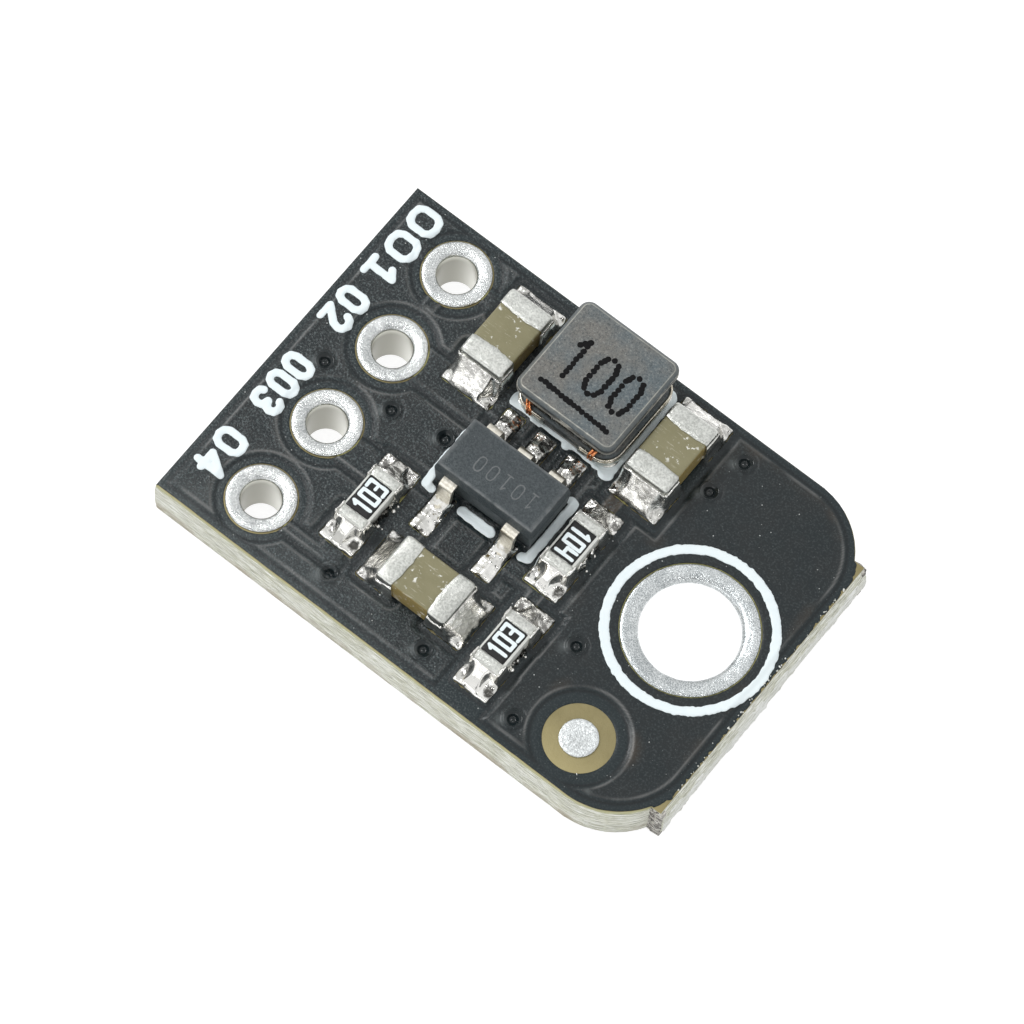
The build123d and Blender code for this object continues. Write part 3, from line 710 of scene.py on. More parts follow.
def pad_boxes():
    """Limits of every open land."""
    boxes = []
    for chips, pad, spacing in ((CAPACITORS, CAP_PAD, CAP_SPACING), (RESISTORS, RES_PAD, RES_SPACING)):
        for (px, py), turn, _ in chips:
            w, l = pad[::-1] if turn else pad
            for step in (-spacing / 2, spacing / 2):
                place = (px, py + step) if turn else (px + step, py)
                boxes.append(about(place, w / 2, l / 2))
    return boxes + [about(place, *LEAD_HALF) for place, _ in LEADS]


PADS = pad_boxes()


def copper_d(x, y):
    """Signed distance to the copper under the mask."""
    pour = outline_d(x, y, 0.27)
    for b in BARE:
        pour = np.maximum(pour, -box_d(x, y, *b))
    for b in TRACKS + PADS:
        pour = np.maximum(pour, CLEARANCE - box_d(x, y, *b))
    pour = drilled(drilled(pour, x, y, HEADERS, 1.2), x, y, [FIDUCIAL], 1.28)
    for b in TRACKS + PADS + [ISLAND]:
        pour = np.minimum(pour, box_d(x, y, *b, 0.04))
    gx, gy = HEADERS[0]
    for spoke in (about(HEADERS[0], 1.2, 0.2), (gx - 0.2, gx + 0.2, gy - 1.2, gy + 0.9)):
        pour = np.minimum(pour, box_d(x, y, *spoke))
    return pour


def crater(r):
    """Level of a covered via against the mask round it."""
    bowl = 0.11 * (1 - smooth(0.05, 0.175, r)) - 0.03 * np.clip(1 - r / 0.07, 0, 1)
    return 0.038 * hump(r, 0.225, 0.036) - bowl - 0.012 * hump(r, 0.31, 0.04)


def mask_level(x, y):
    """Height of the mask's top, which drops between the tracks."""
    d = copper_d(x, y) + rough(x, y, 0.35, 3) * 0.012
    z = MASK - 0.042 * smooth(-0.05, 0.08, d)
    z = z + 0.010 * hump(d, -0.085, 0.045) - 0.006 * hump(d, 0.125, 0.05)
    return z + rough(x, y, 0.9, 17) * 0.004


def mask_d(x, y):
    """Signed distance to the mask, open at lands, rings and fiducial and frayed at the snapped edge."""
    far = box_d(x, y, -20, 7.34, -5.06, 5.06, CORNER)
    edge = np.maximum(np.maximum(far, -7.325 - x), x - 7.255)
    edge = np.maximum(edge, laminate_d(x, y) + 0.014)
    nibble = np.maximum(rough(x * 0.5, y, 0.09, 29, 3), -0.1) * 0.08 * smooth(7.0, 7.15, x)
    edge = edge + nibble + rough(x, y, 0.25, 31, 2) * 0.005
    for x0, x1, y0, y1 in PADS:
        land = box_d(x, y, x0 - 0.01, x1 + 0.01, y0 - 0.01, y1 + 0.01, 0.06)
        edge = np.maximum(edge, -(land + rough(x, y, 0.1, 37, 2) * 0.014))
    edge = drilled(drilled(edge, x, y, HEADERS, 0.915), x, y, [MOUNT], 1.735)
    return drilled(edge, x, y, [FIDUCIAL], 0.89)


# The mask stops at VIA_CUT round each via, and rings of these radii carry it on to the middle
VIA_CUT = 0.36
VIA_RINGS = (0.33, 0.30, 0.27, 0.245, 0.225, 0.205, 0.19, 0.175, 0.16, 0.145, 0.13, 0.115, 0.10, 0.08,
             0.055, 0.03)


def close_via(via, x, y, loop, n):
    """Points, from index n on, and faces that carry the mask from a loop to the middle of a via."""
    loop = loop[np.argsort(np.arctan2(y[loop] - via[1], x[loop] - via[0]))]
    verts, faces, before = [], [], loop
    for r in VIA_RINGS:
        px = via[0] + (x[loop] - via[0]) * r / VIA_CUT
        py = via[1] + (y[loop] - via[1]) * r / VIA_CUT
        verts.append(np.column_stack([px, py, mask_level(px, py) + crater(disc_d(px, py, via, 0))]))
        now = np.arange(n, n + len(loop))
        faces += zip(before, np.roll(before, -1), np.roll(now, -1), now)
        before, n = now, n + len(loop)
    verts.append([[*via, mask_level(*map(np.array, via)) + crater(0.0)]])
    faces += [(a, b, n) for a, b in zip(before, np.roll(before, -1))]
    return verts, faces


def mark_mask(obj, x, y):
    """Where the mask covers copper, its brown rims, lighter lines over the copper's edges (thinner mask,
    partly a painted highlight), painted shade at their foot, painted sheen, calm and wet places.
    """
    c = copper_d(x, y)
    give(obj, "copper", smooth(0.03, -0.05, c))
    brown = smooth(-0.36, -0.05, c) * smooth(0.03, -0.02, c)
    patchy = smooth(-0.1, 0.7, rough(x, y, 1.1, 41))
    trace = smooth(0.06, -0.04, box_d(x, y, 1.35, 1.75, 1.2, 1.68))
    give(obj, "rim", (0.06 + 0.34 * smooth(1.5, 4.5, x)) * brown * patchy + 0.6 * brown * trace)
    # Lighter lines over the copper's edges: partly thinner mask, partly a painted highlight.
    give(obj, "line", 0.62 * hump(c, -0.035, 0.028) * smooth(-0.5, 0.5, rough(x, y, 0.8, 47)))
    # A dark line at the foot of each copper step is painted shade.
    give(obj, "painted_groove_shade", 0.8 * hump(c, 0.075, 0.04))
    # Painted sheen: a pale smear on the -x, -y side of each via, one pale spot near the front edge and a
    # brighter front left area.
    painted_sheen, wet = 0 * x, 0 * x
    for vx, vy in VIAS:
        painted_sheen = painted_sheen + 0.55 * np.exp(-disc_d(x, y, (vx - 0.22, vy - 0.20), 0) ** 2 / 0.018)
        wet = np.maximum(wet, smooth(0.27, 0.20, disc_d(x, y, (vx, vy), 0)))
    painted_sheen = painted_sheen + 0.5 * hump(x, 5.58, 0.10) * hump(y, -4.70, 0.06)
    painted_sheen = painted_sheen + 0.18 * smooth(-2.6, -5.0, y) * smooth(1.0, -3.5, x) * (1 + rough(x, y, 0.4, 45))
    give(obj, "painted_sheen", np.clip(painted_sheen, 0, 1))
    # The grain is strongest on the left; it sets the bump and the painted glints.
    grain = 0.30 + 0.70 * smooth(3.4, 0.6, x + 0.5 * rough(x, y, 1.5, 43))
    give(obj, "calm", 1 - grain * (1 - 0.95 * wet))
    give(obj, "wet", wet)


def make_mask():
    step = 0.040
    pts, faces, rim = contour(lambda x, y: drilled(mask_d(x, y), x, y, VIAS, VIA_CUT), *WHOLE, step)
    x, y = pts.T
    z = mask_level(x, y) - 0.012 * smooth(-0.05, 0.0, mask_d(x, y))
    verts, n = [np.column_stack([x, y, z])], len(pts)
    on_rim = np.array(sorted({v for edge in rim for v in edge}))
    closed = set()
    for via in VIAS:
        loop = on_rim[disc_d(x[on_rim], y[on_rim], via, VIA_CUT) < 0.02]
        more_verts, more_faces = close_via(via, x, y, loop, n)
        verts, faces = verts + more_verts, faces + more_faces
        n += sum(map(len, more_verts))
        closed.update(loop)
    rim = [edge for edge in rim if edge[0] not in closed]
    ring = np.array(sorted({v for edge in rim for v in edge}))
    index = {v: n + i for i, v in enumerate(ring)}
    verts = np.concatenate(verts + [np.column_stack([x[ring], y[ring], np.full(len(ring), LAMINATE)])])
    walls = [(a, index[a], index[b], b) for a, b in rim]
    obj = piece("solder_mask_skin", verts, faces + walls, "mask", ["top_solder_mask"],
                range(len(faces), len(faces) + len(walls)))
    mark_mask(obj, verts[:, 0], verts[:, 1])


make_mask()


# Printed legend. Digits are lines in a cell 0.6 wide and 1 high

DIGITS = {
    "0": [[(0.3, 0), (0.1, 0.06), (0, 0.24), (0, 0.76), (0.1, 0.94), (0.3, 1), (0.5, 0.94), (0.6, 0.76),
           (0.6, 0.24), (0.5, 0.06), (0.3, 0)]],
    "1": [[(0.08, 0.78), (0.3, 1), (0.3, 0)], [(0.06, 0), (0.54, 0)]],
    "2": [[(0.0, 0.78), (0.08, 0.93), (0.3, 1), (0.52, 0.93), (0.6, 0.75), (0.52, 0.52), (0, 0), (0.6, 0)]],
    "3": [[(0.02, 0.86), (0.12, 0.97), (0.3, 1), (0.5, 0.94), (0.58, 0.77), (0.5, 0.59), (0.26, 0.53)],
          [(0.26, 0.53), (0.52, 0.46), (0.6, 0.27), (0.52, 0.07), (0.3, 0), (0.1, 0.03), (0, 0.15)]],
    "4": [[(0.46, 0), (0.46, 1), (0, 0.3), (0.62, 0.3)]],
}
BLOCKS = {
    "0": [[(0, 0), (0, 1), (0.6, 1), (0.6, 0), (0, 0)]],
    "1": [[(0.12, 0.82), (0.34, 1), (0.34, 0)]],
    "3": [[(0, 1), (0.6, 1), (0.6, 0), (0, 0)], [(0.15, 0.52), (0.6, 0.52)]],
    "4": [[(0, 1), (0, 0.42), (0.6, 0.42)], [(0.6, 1), (0.6, 0)]],
}


def text_strokes(text, origin, up, right, height, width, pitch, shapes=DIGITS):
    """Strokes of a number: origin is the foot of its first digit."""
    strokes = []
    for i, ch in enumerate(text):
        for line in shapes[ch]:
            cells = [(u / 0.6 * width + i * pitch, v * height) for u, v in line]
            strokes.append([tuple(o + r * a + q * b for o, r, q in zip(origin, right, up)) for a, b in cells])
    return strokes


def strokes_d(strokes, half, seed, wave=0.02):
    """Distance to strokes with uneven edges, as a function of x and y."""
    def dist(x, y):
        d = np.min([stroke_d(x, y, line, half) for line in strokes], axis=0)
        return d + rough(x, y, 0.16, seed, 2) * wave
    return dist


def ink(name, dist, bounds, replaces=()):
    """A print that follows the mask, with soft edges."""
    plate(name, dist, bounds, 0.03, lambda x, y, d: mask_level(x, y) + 0.020 * domed(d, 0.05) + 0.004,
          lambda x, y, d: mask_level(x, y) - 0.004, "ink", replaces)


def inductor_frame_d(x, y):
    """The frame round the inductor, with blots at its corners and gaps at the regulator's lands."""
    x0, x1, y0, y1 = -2.09, 1.10, 1.95, 4.75
    outer = box_d(x, y, x0, x1, y0, y1, 0.2)
    inner = box_d(x, y, x0 + 0.25, x1 - 0.21, y0 + 0.27, y1 - 0.25, 0.06)
    blots = ((-0.28, 1.98, 0.12), (0.92, 2.02, 0.2), (-1.02, 2.02, 0.1), (-1.85, 2.05, 0.13))
    d = np.minimum(np.maximum(outer, -inner), discs_d(x, y, blots))
    for step in (-1, 0, 1):
        px = REGULATOR[0] + step * LEAD_PITCH
        d = np.maximum(d, -box_d(x, y, px - 0.34, px + 0.34, 1.0, 1.985, 0.05))
    return d + rough(x, y, 0.33, 53, 3) * 0.035


def make_legend():
    def ring(x, y):
        return np.abs(disc_d(x, y, MOUNT, 2.08)) - 0.123 + rough(x, y, 0.10, 51, 2) * 0.026

    ink("legend_ring", ring, (2.6, 7.4, -2.3, 2.5), ["top_legend"])
    ink("legend_inductor_frame", inductor_frame_d, (-2.4, 1.4, 1.7, 5.0))
    left = [(-2.05, 0.98), (-2.32, 0.93), (-2.34, 0.0), (-2.32, -0.94), (-2.12, -0.97)]
    right = [(0.70, 0.92), (0.82, 0.90), (0.83, 0.0), (0.82, -0.93), (0.66, -0.98)]
    bar = [(-1.18, -0.97), (-0.3, -0.97)]
    for name, line, half, seed, bounds in (("left_bracket", left, 0.115, 55, (-2.6, -1.8, -1.25, 1.25)),
                                           ("right_bracket", right, 0.115, 57, (0.4, 1.1, -1.25, 1.25)),
                                           ("centre_bar", bar, 0.13, 59, (-1.5, 0.1, -1.25, -0.7))):
        ink(f"legend_{name}", strokes_d([line], half, seed), bounds)
    labels = [("001", -6.98, 4.74, 0.56, 0.87), ("02", -7.05, 1.90, 0.38, 0.64),
              ("003", -6.98, -0.33, 0.36, 0.60), ("04", -7.0, -2.87, 0.44, 0.72)]
    for i, (text, x, y, width, pitch) in enumerate(labels):
        strokes = text_strokes(text, (x, y), (1, 0), (0, -1), 0.71, width, pitch)
        ink(f"legend_number_{i + 1}", strokes_d(strokes, 0.1, 61 + i, 0.014), (-7.3, -6.0, y - 2.6, y + 0.3))


make_legend()


# Plated holes, fiducial and plugged vias

def ring_profile(hole, lip, ring):
    """Closed section of a plated hole: a soft rolled entry and a slightly domed ring."""
    profile = [(hole + 0.006, 0.0), (hole, 0.006), (hole, 0.014), (hole, 0.5), (hole, 1.0), (hole, 1.3)]
    for i in range(11):
        a = math.pi / 2 * i / 10
        profile.append((hole + lip * (1 - math.cos(a)) ** 1.1, MASK - lip * 0.9 * (1 - math.sin(a))))
    for i in range(1, 8):
        t = i / 8
        profile.append((hole + lip + (ring - hole - lip) * t, MASK + 0.012 * math.sin(math.pi * t)))
    profile += [(ring - 0.02, MASK - 0.004), (ring - 0.005, MASK - 0.012), (ring, MASK - 0.028)]
    wall = hole + 0.05
    profile += [(ring, LAMINATE), (wall, LAMINATE), (wall, UNDER), (ring, UNDER)]
    profile += [(ring, 0.012), (ring - 0.012, 0.0)]
    return profile[::-1]


def make_hole(name, node, place, hole, lip, ring, look, seed, shade, count=144):
    """A plated hole whose wall is shaded on one side."""
    obj = revolve(name, place, ring_profile(hole, lip, ring), look, [node], seed, count)
    x, y, z = points_of(obj)
    dx, dy = x - place[0], y - place[1]
    r = np.hypot(dx, dy)
    inside = smooth(hole + 0.05, hole + 0.02, r)
    side = smooth(-0.3, 1.0, (-dx * 0.85 + dy * 0.30) / r)
    give(obj, "shade", shade * inside * side * smooth(1.62, 1.35, z))
    give(obj, "bore", inside)


def make_holes():
    for i, place in enumerate(HEADERS, 1):
        make_hole(f"header_ring_{i}", f"header_barrel_{i}", place, *HEADER_HOLE, "ring", 70 + i, 0.85)
    make_hole("mounting_ring", "mounting_hole_barrel", MOUNT, *MOUNT_HOLE, "wide_ring", 79, 0.0, 240)

    def disc(x, y):
        return disc_d(x, y, FIDUCIAL, 0.488) + rough(x, y, 0.12, 81, 2) * 0.006

    def top(x, y, d):
        return PAD + 0.012 * domed(d, 0.06) + rough(x, y, 0.07, 83) * 0.006 * smooth(0, -0.05, d)

    plate("fiducial_disc", disc, (4.0, 5.2, -4.4, -3.2), 0.024, top, LAMINATE, "fiducial", ["fiducial_pad"])
    for i, via in enumerate(VIAS, 1):
        plug_rings = block_rings(via, 0.33, 0.33, 0.165, [(0.0, 0.07), (0.0, 1.3), (0.03, 1.40)], 6, 2)
        loft(f"via_plug_{i}", plug_rings, "copper", ["via_barrels"])


make_holes()


# Chips with their solder

def solder_pad(name, node, chip, side, seed, pad, spacing, length, width, rise, flank,
               spots=0.0, crumple=0.0, ridge=(0.25, 0.75, 5.5)):
    """Solder on one land of a chip: a ridge at its middle and hollows beside it."""
    (px, py), turn, shift = chip
    a = math.radians(turn + (0 if side > 0 else 180))
    shift_u, shift_v = turned(*shift, -a)
    end = length / 2 + shift_u
    near, far = spacing / 2 - pad[0] / 2, spacing / 2 + pad[0] / 2
    half = pad[1] / 2
    reach = max(far - end, 0.05)

    def local(x, y):
        return turned(x - px, y - py, -a)

    def dist(x, y):
        return box_d(*local(x, y), near - 0.02, far, -half, half, 0.05) + rough(x, y, 0.18, seed, 2) * 0.024

    def top(x, y, d):
        u, v = local(x, y)
        s = np.clip((u - end) / reach, 0, 1)
        off = np.abs(v - shift_v)
        w = np.abs(v - shift_v + 0.06 * rough(x, y, 0.5, seed + 1, 2)) / half
        power = 1.15 + ridge[2] * smooth(ridge[0], ridge[1], w + 0.15 * rough(x, y, 0.5, seed + 2, 2))
        beside = smooth(width / 2 + 0.10, width / 2 - 0.02, off)
        wall = rise * (1 - s) ** power * (0.35 + 0.65 * beside)
        bed = 0.05 + 0.035 * smooth(0.5, 0.9, s) * (1 + 0.8 * rough(x, y, 0.4, seed + 4, 2))
        lump = 0.6 + 0.8 * np.abs(rough(x, y, 0.18, seed + 8, 2))
        bead = flank * lump * hump(off - width / 2, 0.05, 0.06) * smooth(end + 0.12, end, u)
        z = bed + wall + bead + rough(x, y, 0.34, seed + 6, 2) * 0.014
        under = smooth(end + 0.005, end - 0.03, u) * smooth(width / 2, width / 2 - 0.04, off)
        z = z * (1 - under) + np.minimum(z, 0.04) * under
        return PAD + 0.008 + z * rolled(d, 0.10)

    corners = [turned(u, v, a) for u in (near - 0.1, far + 0.1) for v in (-half - 0.1, half + 0.1)]
    xs, ys = ([p + o for o in offsets] for p, offsets in zip((px, py), zip(*corners)))
    obj, x, y, d = plate(name, dist, (min(xs), max(xs), min(ys), max(ys)), 0.026, top, SOLDER_FOOT,
                         "solder", [node])
    u, v = local(x, y)
    # Dark blots in the hollows beside the ridge: partly flux, partly a painted dark reflection of the board.
    flux_and_painted_reflection = 0 * x
    for k, spot in enumerate((-1, 1)):
        ju, jv = np.random.default_rng(seed + k).uniform(-0.07, 0.07, 2)
        r = np.hypot((u - end - reach * 0.5 - ju) * 0.8, v - spot * half * 0.72 - jv)
        r = r + 0.05 * rough(x, y, 0.16, seed + 12, 2)
        flux_and_painted_reflection = np.maximum(flux_and_painted_reflection, smooth(0.24, 0.06, r) * spots * (1.0 if spot > 0 else 0.75))
    crust = smooth(0.38, 0.6, rough(x, y, 0.26, seed + 14, 3)) * smooth(-0.14, -0.05, d)
    give(obj, "flux_and_painted_reflection", np.clip(np.maximum(flux_and_painted_reflection, 0.8 * crust), 0, 1))
    give(obj, "crumple", crumple * smooth(end - 0.1, end + 0.05, u))


def end_cap(name, node, chip, side, seed, size, band, bow=0.0, corner=0.09, lump=0.006):
    """A tinned cup over one end of a chip, with a bowed inner edge."""
    length, width, height = size
    inner = length / 2 - band

    def ring(u, inset, bowed=0.0):
        v, z = rounded(width - 2 * inset, height - 2 * inset, max(corner - inset, 0.012), 5, 10).T
        z = z + height / 2
        on_top = smooth(height * 0.7, height, z)
        uu = u - bowed * bow * (1 - (2 * v / width) ** 2) * on_top
        uu = uu + bowed * rough(v * 2 + seed, z * 2, 0.25, seed, 3) * 0.028
        bulge = rough(v + u * 2 + seed, z + u, 0.22, seed + 3, 2) * lump
        across = v + np.sign(v) * bulge
        return place_chip(chip, np.column_stack([side * uu, side * across, z + bulge * on_top]), SEAT)

    sections = [(inner + 0.005, 0.035, 1), (inner, 0.012, 1), (inner + 0.014, 0.0, 1)]
    sections += [(inner + (band - 0.06) * t, 0.0, 1 - t / 0.62) for t in (0.2, 0.35, 0.5, 0.62)]
    end = ((0.11, 0.002), (0.08, 0.008), (0.05, 0.022), (0.026, 0.042), (0.01, 0.068), (0.0, 0.11))
    sections += [(length / 2 - back, inset) for back, inset in end]
    loft(name, [ring(*section) for section in sections[::-1]], "cap", [node])


def chip_block(name, node, chip, size, corner, lift, look):
    """A bar with softened edges along a chip's own length."""
    length, width, height = size
    rings = []
    for u, inset in ((-length / 2, 0.02), (-length / 2 + 0.02, 0.0), (-length / 6, 0.0), (length / 6, 0.0),
                     (length / 2 - 0.02, 0.0), (length / 2, 0.02)):
        p = rounded(width - 2 * inset, height - 2 * inset, corner, 4, 8)
        section = np.column_stack([np.full(len(p), u), p + (0, height / 2)])
        rings.append(place_chip(chip, section, SEAT + lift))
    loft(name, rings[::-1], look, [node])


def make_capacitors():
    joint = dict(pad=CAP_PAD, spacing=CAP_SPACING, length=2.08, width=CAP_SIZE[1], rise=0.66, flank=0.14,
                 crumple=0.45, ridge=(0.55, 1.0, 3.5))
    for i, chip in enumerate(CAPACITORS, 1):
        name = f"capacitor_{i}"
        chip_block(f"{name}_body", f"{name}_ceramic", chip, (2.02, 1.235, 0.80), 0.06, 0.03, "ceramic")
        for k, side in ((1, -1), (2, 1)):
            end_cap(f"{name}_end_{k}", f"{name}_terminal_{k}", chip, side, 100 + 10 * i + k,
                    CAP_SIZE, 0.5, 0.06)
            solder_pad(f"{name}_solder_{k}", f"{name}_solder_joints", chip, side, 200 + 10 * i + k, **joint)


def make_resistors():
    joint = dict(pad=RES_PAD, spacing=RES_SPACING, length=1.56, width=RES_SIZE[1], rise=0.42, flank=0.24)
    top = SEAT + 0.43
    for i, (chip, code, way) in enumerate(zip(RESISTORS, ("103", "104", "103"), (1, -1, 1)), 1):
        name = f"resistor_{i}"
        chip_block(f"{name}_plate", f"{name}_substrate", chip, (1.56, 0.80, 0.41), 0.02, 0.02, "alumina")
        (px, py), _, (ox, oy) = chip
        cx, cy = place = px + ox, py + oy

        def coat(x, y):
            edge = box_d(x, y, cx - 0.35, cx + 0.33, cy - 0.49, cy + 0.49, 0.02)
            return edge + rough(x, y, 0.12, 300 + i, 2) * 0.008

        plate(f"{name}_coat", coat, about(place, 0.5, 0.6), 0.03,
              lambda x, y, d: top + 0.028 * domed(d, 0.07) + 0.002, top - 0.01,
              "overcoat", [f"{name}_overcoat"])
        strokes = text_strokes(code, (cx + way * 0.24, cy - way * 0.385), (-way, 0), (0, way),
                               0.49, 0.19, 0.29, BLOCKS)
        plate(f"{name}_code", strokes_d(strokes, 0.046, 310 + i, 0.010), about(place, 0.45, 0.55), 0.014,
              top + 0.036, top + 0.026, "ink")
        for k, side, spots, crumple in ((1, -1, 0.95, 0.0), (2, 1, 0.0, 0.9)):
            end_cap(f"{name}_end_{k}", f"{name}_terminal_{k}", chip, side, 320 + 10 * i + k,
                    RES_SIZE, 0.3, corner=0.05, lump=0.018)
            solder_pad(f"{name}_solder_{k}", f"{name}_solder_joints", chip, side, 400 + 10 * i + k,
                       spots=spots, crumple=crumple, **joint)


make_capacitors()
make_resistors()


# Regulator

def dress(name, look, bevel=0.0, angle=30):
    """A look, and narrow bevels, for a node that stays as the frame has it."""
    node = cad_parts[name]
    node.data.materials.clear()
    node.data.materials.append(LOOKS[look][0])
    if bevel:
        edges = node.modifiers.new("edges", "BEVEL")
        edges.width, edges.segments = bevel * MM, 2
        edges.limit_method, edges.angle_limit = "ANGLE", math.radians(angle)


def make_regulator():
    base = MASK + 0.1
    part, top = base + 0.70, base + 1.02
    x0, y0 = REGULATOR
    profile = [(0.10, base), (0.075, base + 0.01), (0.06, base + 0.03), (0.03, base + 0.35),
               (0.006, part - 0.02), (0.0, part), (0.008, part + 0.02), (0.045, top - 0.10),
               (0.060, top - 0.035), (0.070, top - 0.012), (0.095, top)]
    length, width = REGULATOR_SIZE
    body = loft("regulator_case", block_rings(REGULATOR, length, width, 0.07, profile, 4, 60), "moulding",
                ["regulator_body"])
    x, y, z = points_of(body)
    # A pale line along the case's top edge is a painted highlight.
    edge = hump(z, top, 0.03) * smooth(-0.13, -0.06, box_d(x, y, *about(REGULATOR, length / 2, width / 2)))
    give(body, "pale_mark_and_highlight", np.clip(edge * (0.6 + 0.7 * rough(x, y, 0.16, 91)), 0, 1))
    strokes = text_strokes("10100", (x0 + 1.04, y0 + 0.09), (0, -1), (-1, 0), 0.42, 0.20, 0.385)
    number, *_ = plate("regulator_number", strokes_d(strokes, 0.017, 93, 0.006),
                       (x0 - 1.2, x0 + 1.2, y0 - 0.5, y0 + 0.4), 0.016, top + 0.002, top - 0.01, "moulding")
    give(number, "pale_mark_and_highlight", 0.42)


def make_leads():
    for k, (land, side) in enumerate(LEADS, 1):
        def dist(x, y):
            return box_d(x, y, *about(land, *LEAD_HALF), 0.05) + rough(x, y, 0.12, 500 + k, 2) * 0.02

        def top(x, y, d):
            out = side * (y - REGULATOR[1])
            across = np.abs(x - land[0] + 0.03 * rough(x, y, 0.3, 505 + k, 2))
            foot = smooth(0.94, 1.08, out) * (1 - smooth(1.36, 1.66, out)) * smooth(0.275, 0.20, across)
            ridge = 0.07 * smooth(1.3, 1.5, out) * hump(across, 0, 0.10)
            z = 0.04 + 0.155 * foot + ridge + rough(x, y, 0.2, 510 + k, 3) * 0.020
            return PAD + 0.006 + z * rolled(d, 0.08)

        obj, x, y, d = plate(f"regulator_solder_{k}", dist, about(land, 0.4, 0.75), 0.022, top,
                             SOLDER_FOOT, "solder", ["regulator_solder_joints"])
        give(obj, "flux_and_painted_reflection", 0.9 * smooth(0.1, 0.4, rough(x, y, 0.2, 520 + k, 3)) * smooth(-0.17, -0.06, d))
        give(obj, "crumple", 0 * x + (0.75 if side > 0 else 0.12))
        dress(f"regulator_lead_{k}", "lead", 0.018, 35)


make_regulator()
make_leads()


# Inductor

def make_core():
    """The drum's bevelled top flange with its worn edges and a painted highlight along its top edge, and the
    base flange with plating round two ends.
    """
    base, top = INDUCTOR_FOOT, INDUCTOR_TOP
    profile = [(0.06, top - 0.31), (0.02, top - 0.30), (0.0, top - 0.27), (0.0, top - 0.16),
               (0.008, top - 0.10), (0.03, top - 0.075), (0.088, top - 0.018), (0.095, top - 0.012),
               (0.103, top - 0.006), (0.112, top - 0.002), (0.122, top - 0.001), (0.14, top)]
    flange = loft("inductor_top", block_rings(INDUCTOR, FLANGE, FLANGE, 0.28, profile, 8, 60), "ferrite",
                  ["inductor_core"])
    x0, y0 = INDUCTOR
    x, y, z = points_of(flange)
    d = box_d(x, y, *about(INDUCTOR, FLANGE / 2, FLANGE / 2), 0.28)
    # The pale crest along the top edge is partly chipped ferrite and partly a painted highlight.
    crest = hump(d, -0.104, 0.012) * smooth(top - 0.05, top - 0.01, z)
    skirt = hump(z, top - 0.27, 0.03) * smooth(-0.1, -0.03, d)
    chips = smooth(-0.1, 0.5, rough(x, y, 0.14, 95)) * (0.4 + 0.6 * smooth(y0 - 1.0, y0 - 1.35, y))
    give(flange, "pale_mark_and_highlight", np.clip(crest * (0.45 + 0.6 * chips) + skirt * (0.6 + 0.8 * chips), 0, 1))
    foot = [(0.05, base), (0.01, base + 0.02), (0.0, base + 0.05), (0.0, base + 0.30), (0.02, base + 0.35),
            (0.07, base + 0.36)]
    loft("inductor_base", block_rings(INDUCTOR, 2.96, 2.76, 0.5, foot, 8, 24), "ferrite")
    path = rounded(2.98, 2.80, 0.5, 8, 10)
    for i, side in enumerate((-1, 1), 1):
        around = path[np.argsort(side * np.arctan2(path[:, 1], side * path[:, 0]))]
        px, py = around[side * around[:, 0] > 0.5].T
        for j, (level, radius) in enumerate(((base + 0.33, 0.036), (base + 0.20, 0.028)), 1):
            wave = rough(px * 2, py * 2, 0.5, 96 + j)
            swell = 1 + 0.012 * wave
            points = np.column_stack([x0 + px * swell, y0 + py * swell, level + 0.03 * wave])
            tube(f"inductor_plating_{i}_{j}", points, radius, "plating")


def make_resin():
    """The bulging fill of the drum's middle, and the solder under both ends of its base."""
    x0, y0 = INDUCTOR
    rings = []
    for inset, rise in ((0.06, 0.34), (0.0, 0.40), (-0.02, 0.5), (0.03, 0.62), (0.0, 0.75), (-0.01, 0.9),
                        (0.06, 1.03), (0.1, 1.06)):
        z = INDUCTOR_FOOT + rise
        p = rounded(2.6 - 2 * inset, 2.6 - 2 * inset, 0.42, 8, 24)
        bulge = 1 + 0.03 * rough(p[:, 0] + z, p[:, 1] + z * 2, 0.4, 97)
        rings.append(np.column_stack([p * bulge[:, None] + INDUCTOR, np.full(len(p), z)]))
    loft("inductor_resin_fill", rings, "resin", ["inductor_resin"])
    for i, side in enumerate((-1, 1), 1):
        def foot(x, y):
            return box_d(x, y, *sorted((x0 + side * 0.5, x0 + side * 1.5)), y0 - 1.33, y0 + 1.33, 0.3)

        plate(f"inductor_foot_{i}", foot, about(INDUCTOR, 1.6, 1.5), 0.05, 1.66, PAD, "solder",
              ["inductor_solder_joints"])


def make_stamp():
    """The stamped number and the line under it, in uneven dots."""
    x0, y0 = INDUCTOR
    left, low = x0 - 1.0, y0 - 0.56
    one, zero = [(0.1, 0.82), (0.32, 1.0), (0.32, 0.0)], DIGITS["0"][0]
    lines = [[(left + 0.10 + i * 0.76 + u / 0.6 * 0.46, low + v * 1.10) for u, v in digit]
             for i, digit in enumerate((one, zero, zero))]
    lines.append([(left, low - 0.40), (left + 2.06, low - 0.49)])
    rng = np.random.default_rng(7)
    dots = [(x + rng.normal(0, 0.006), y + rng.normal(0, 0.006), rng.uniform(0.072, 0.082))
            for x, y in dotted(lines, 0.132)]
    plate("inductor_number", lambda x, y: discs_d(x, y, dots) + rough(x, y, 0.07, 601, 2) * 0.012,
          (x0 - 1.3, x0 + 1.3, y0 - 1.3, y0 + 1.0), 0.018,
          lambda x, y, d: INDUCTOR_TOP + 0.004 + 0.003 * smooth(0, -0.04, d), INDUCTOR_TOP - 0.01, "dots")


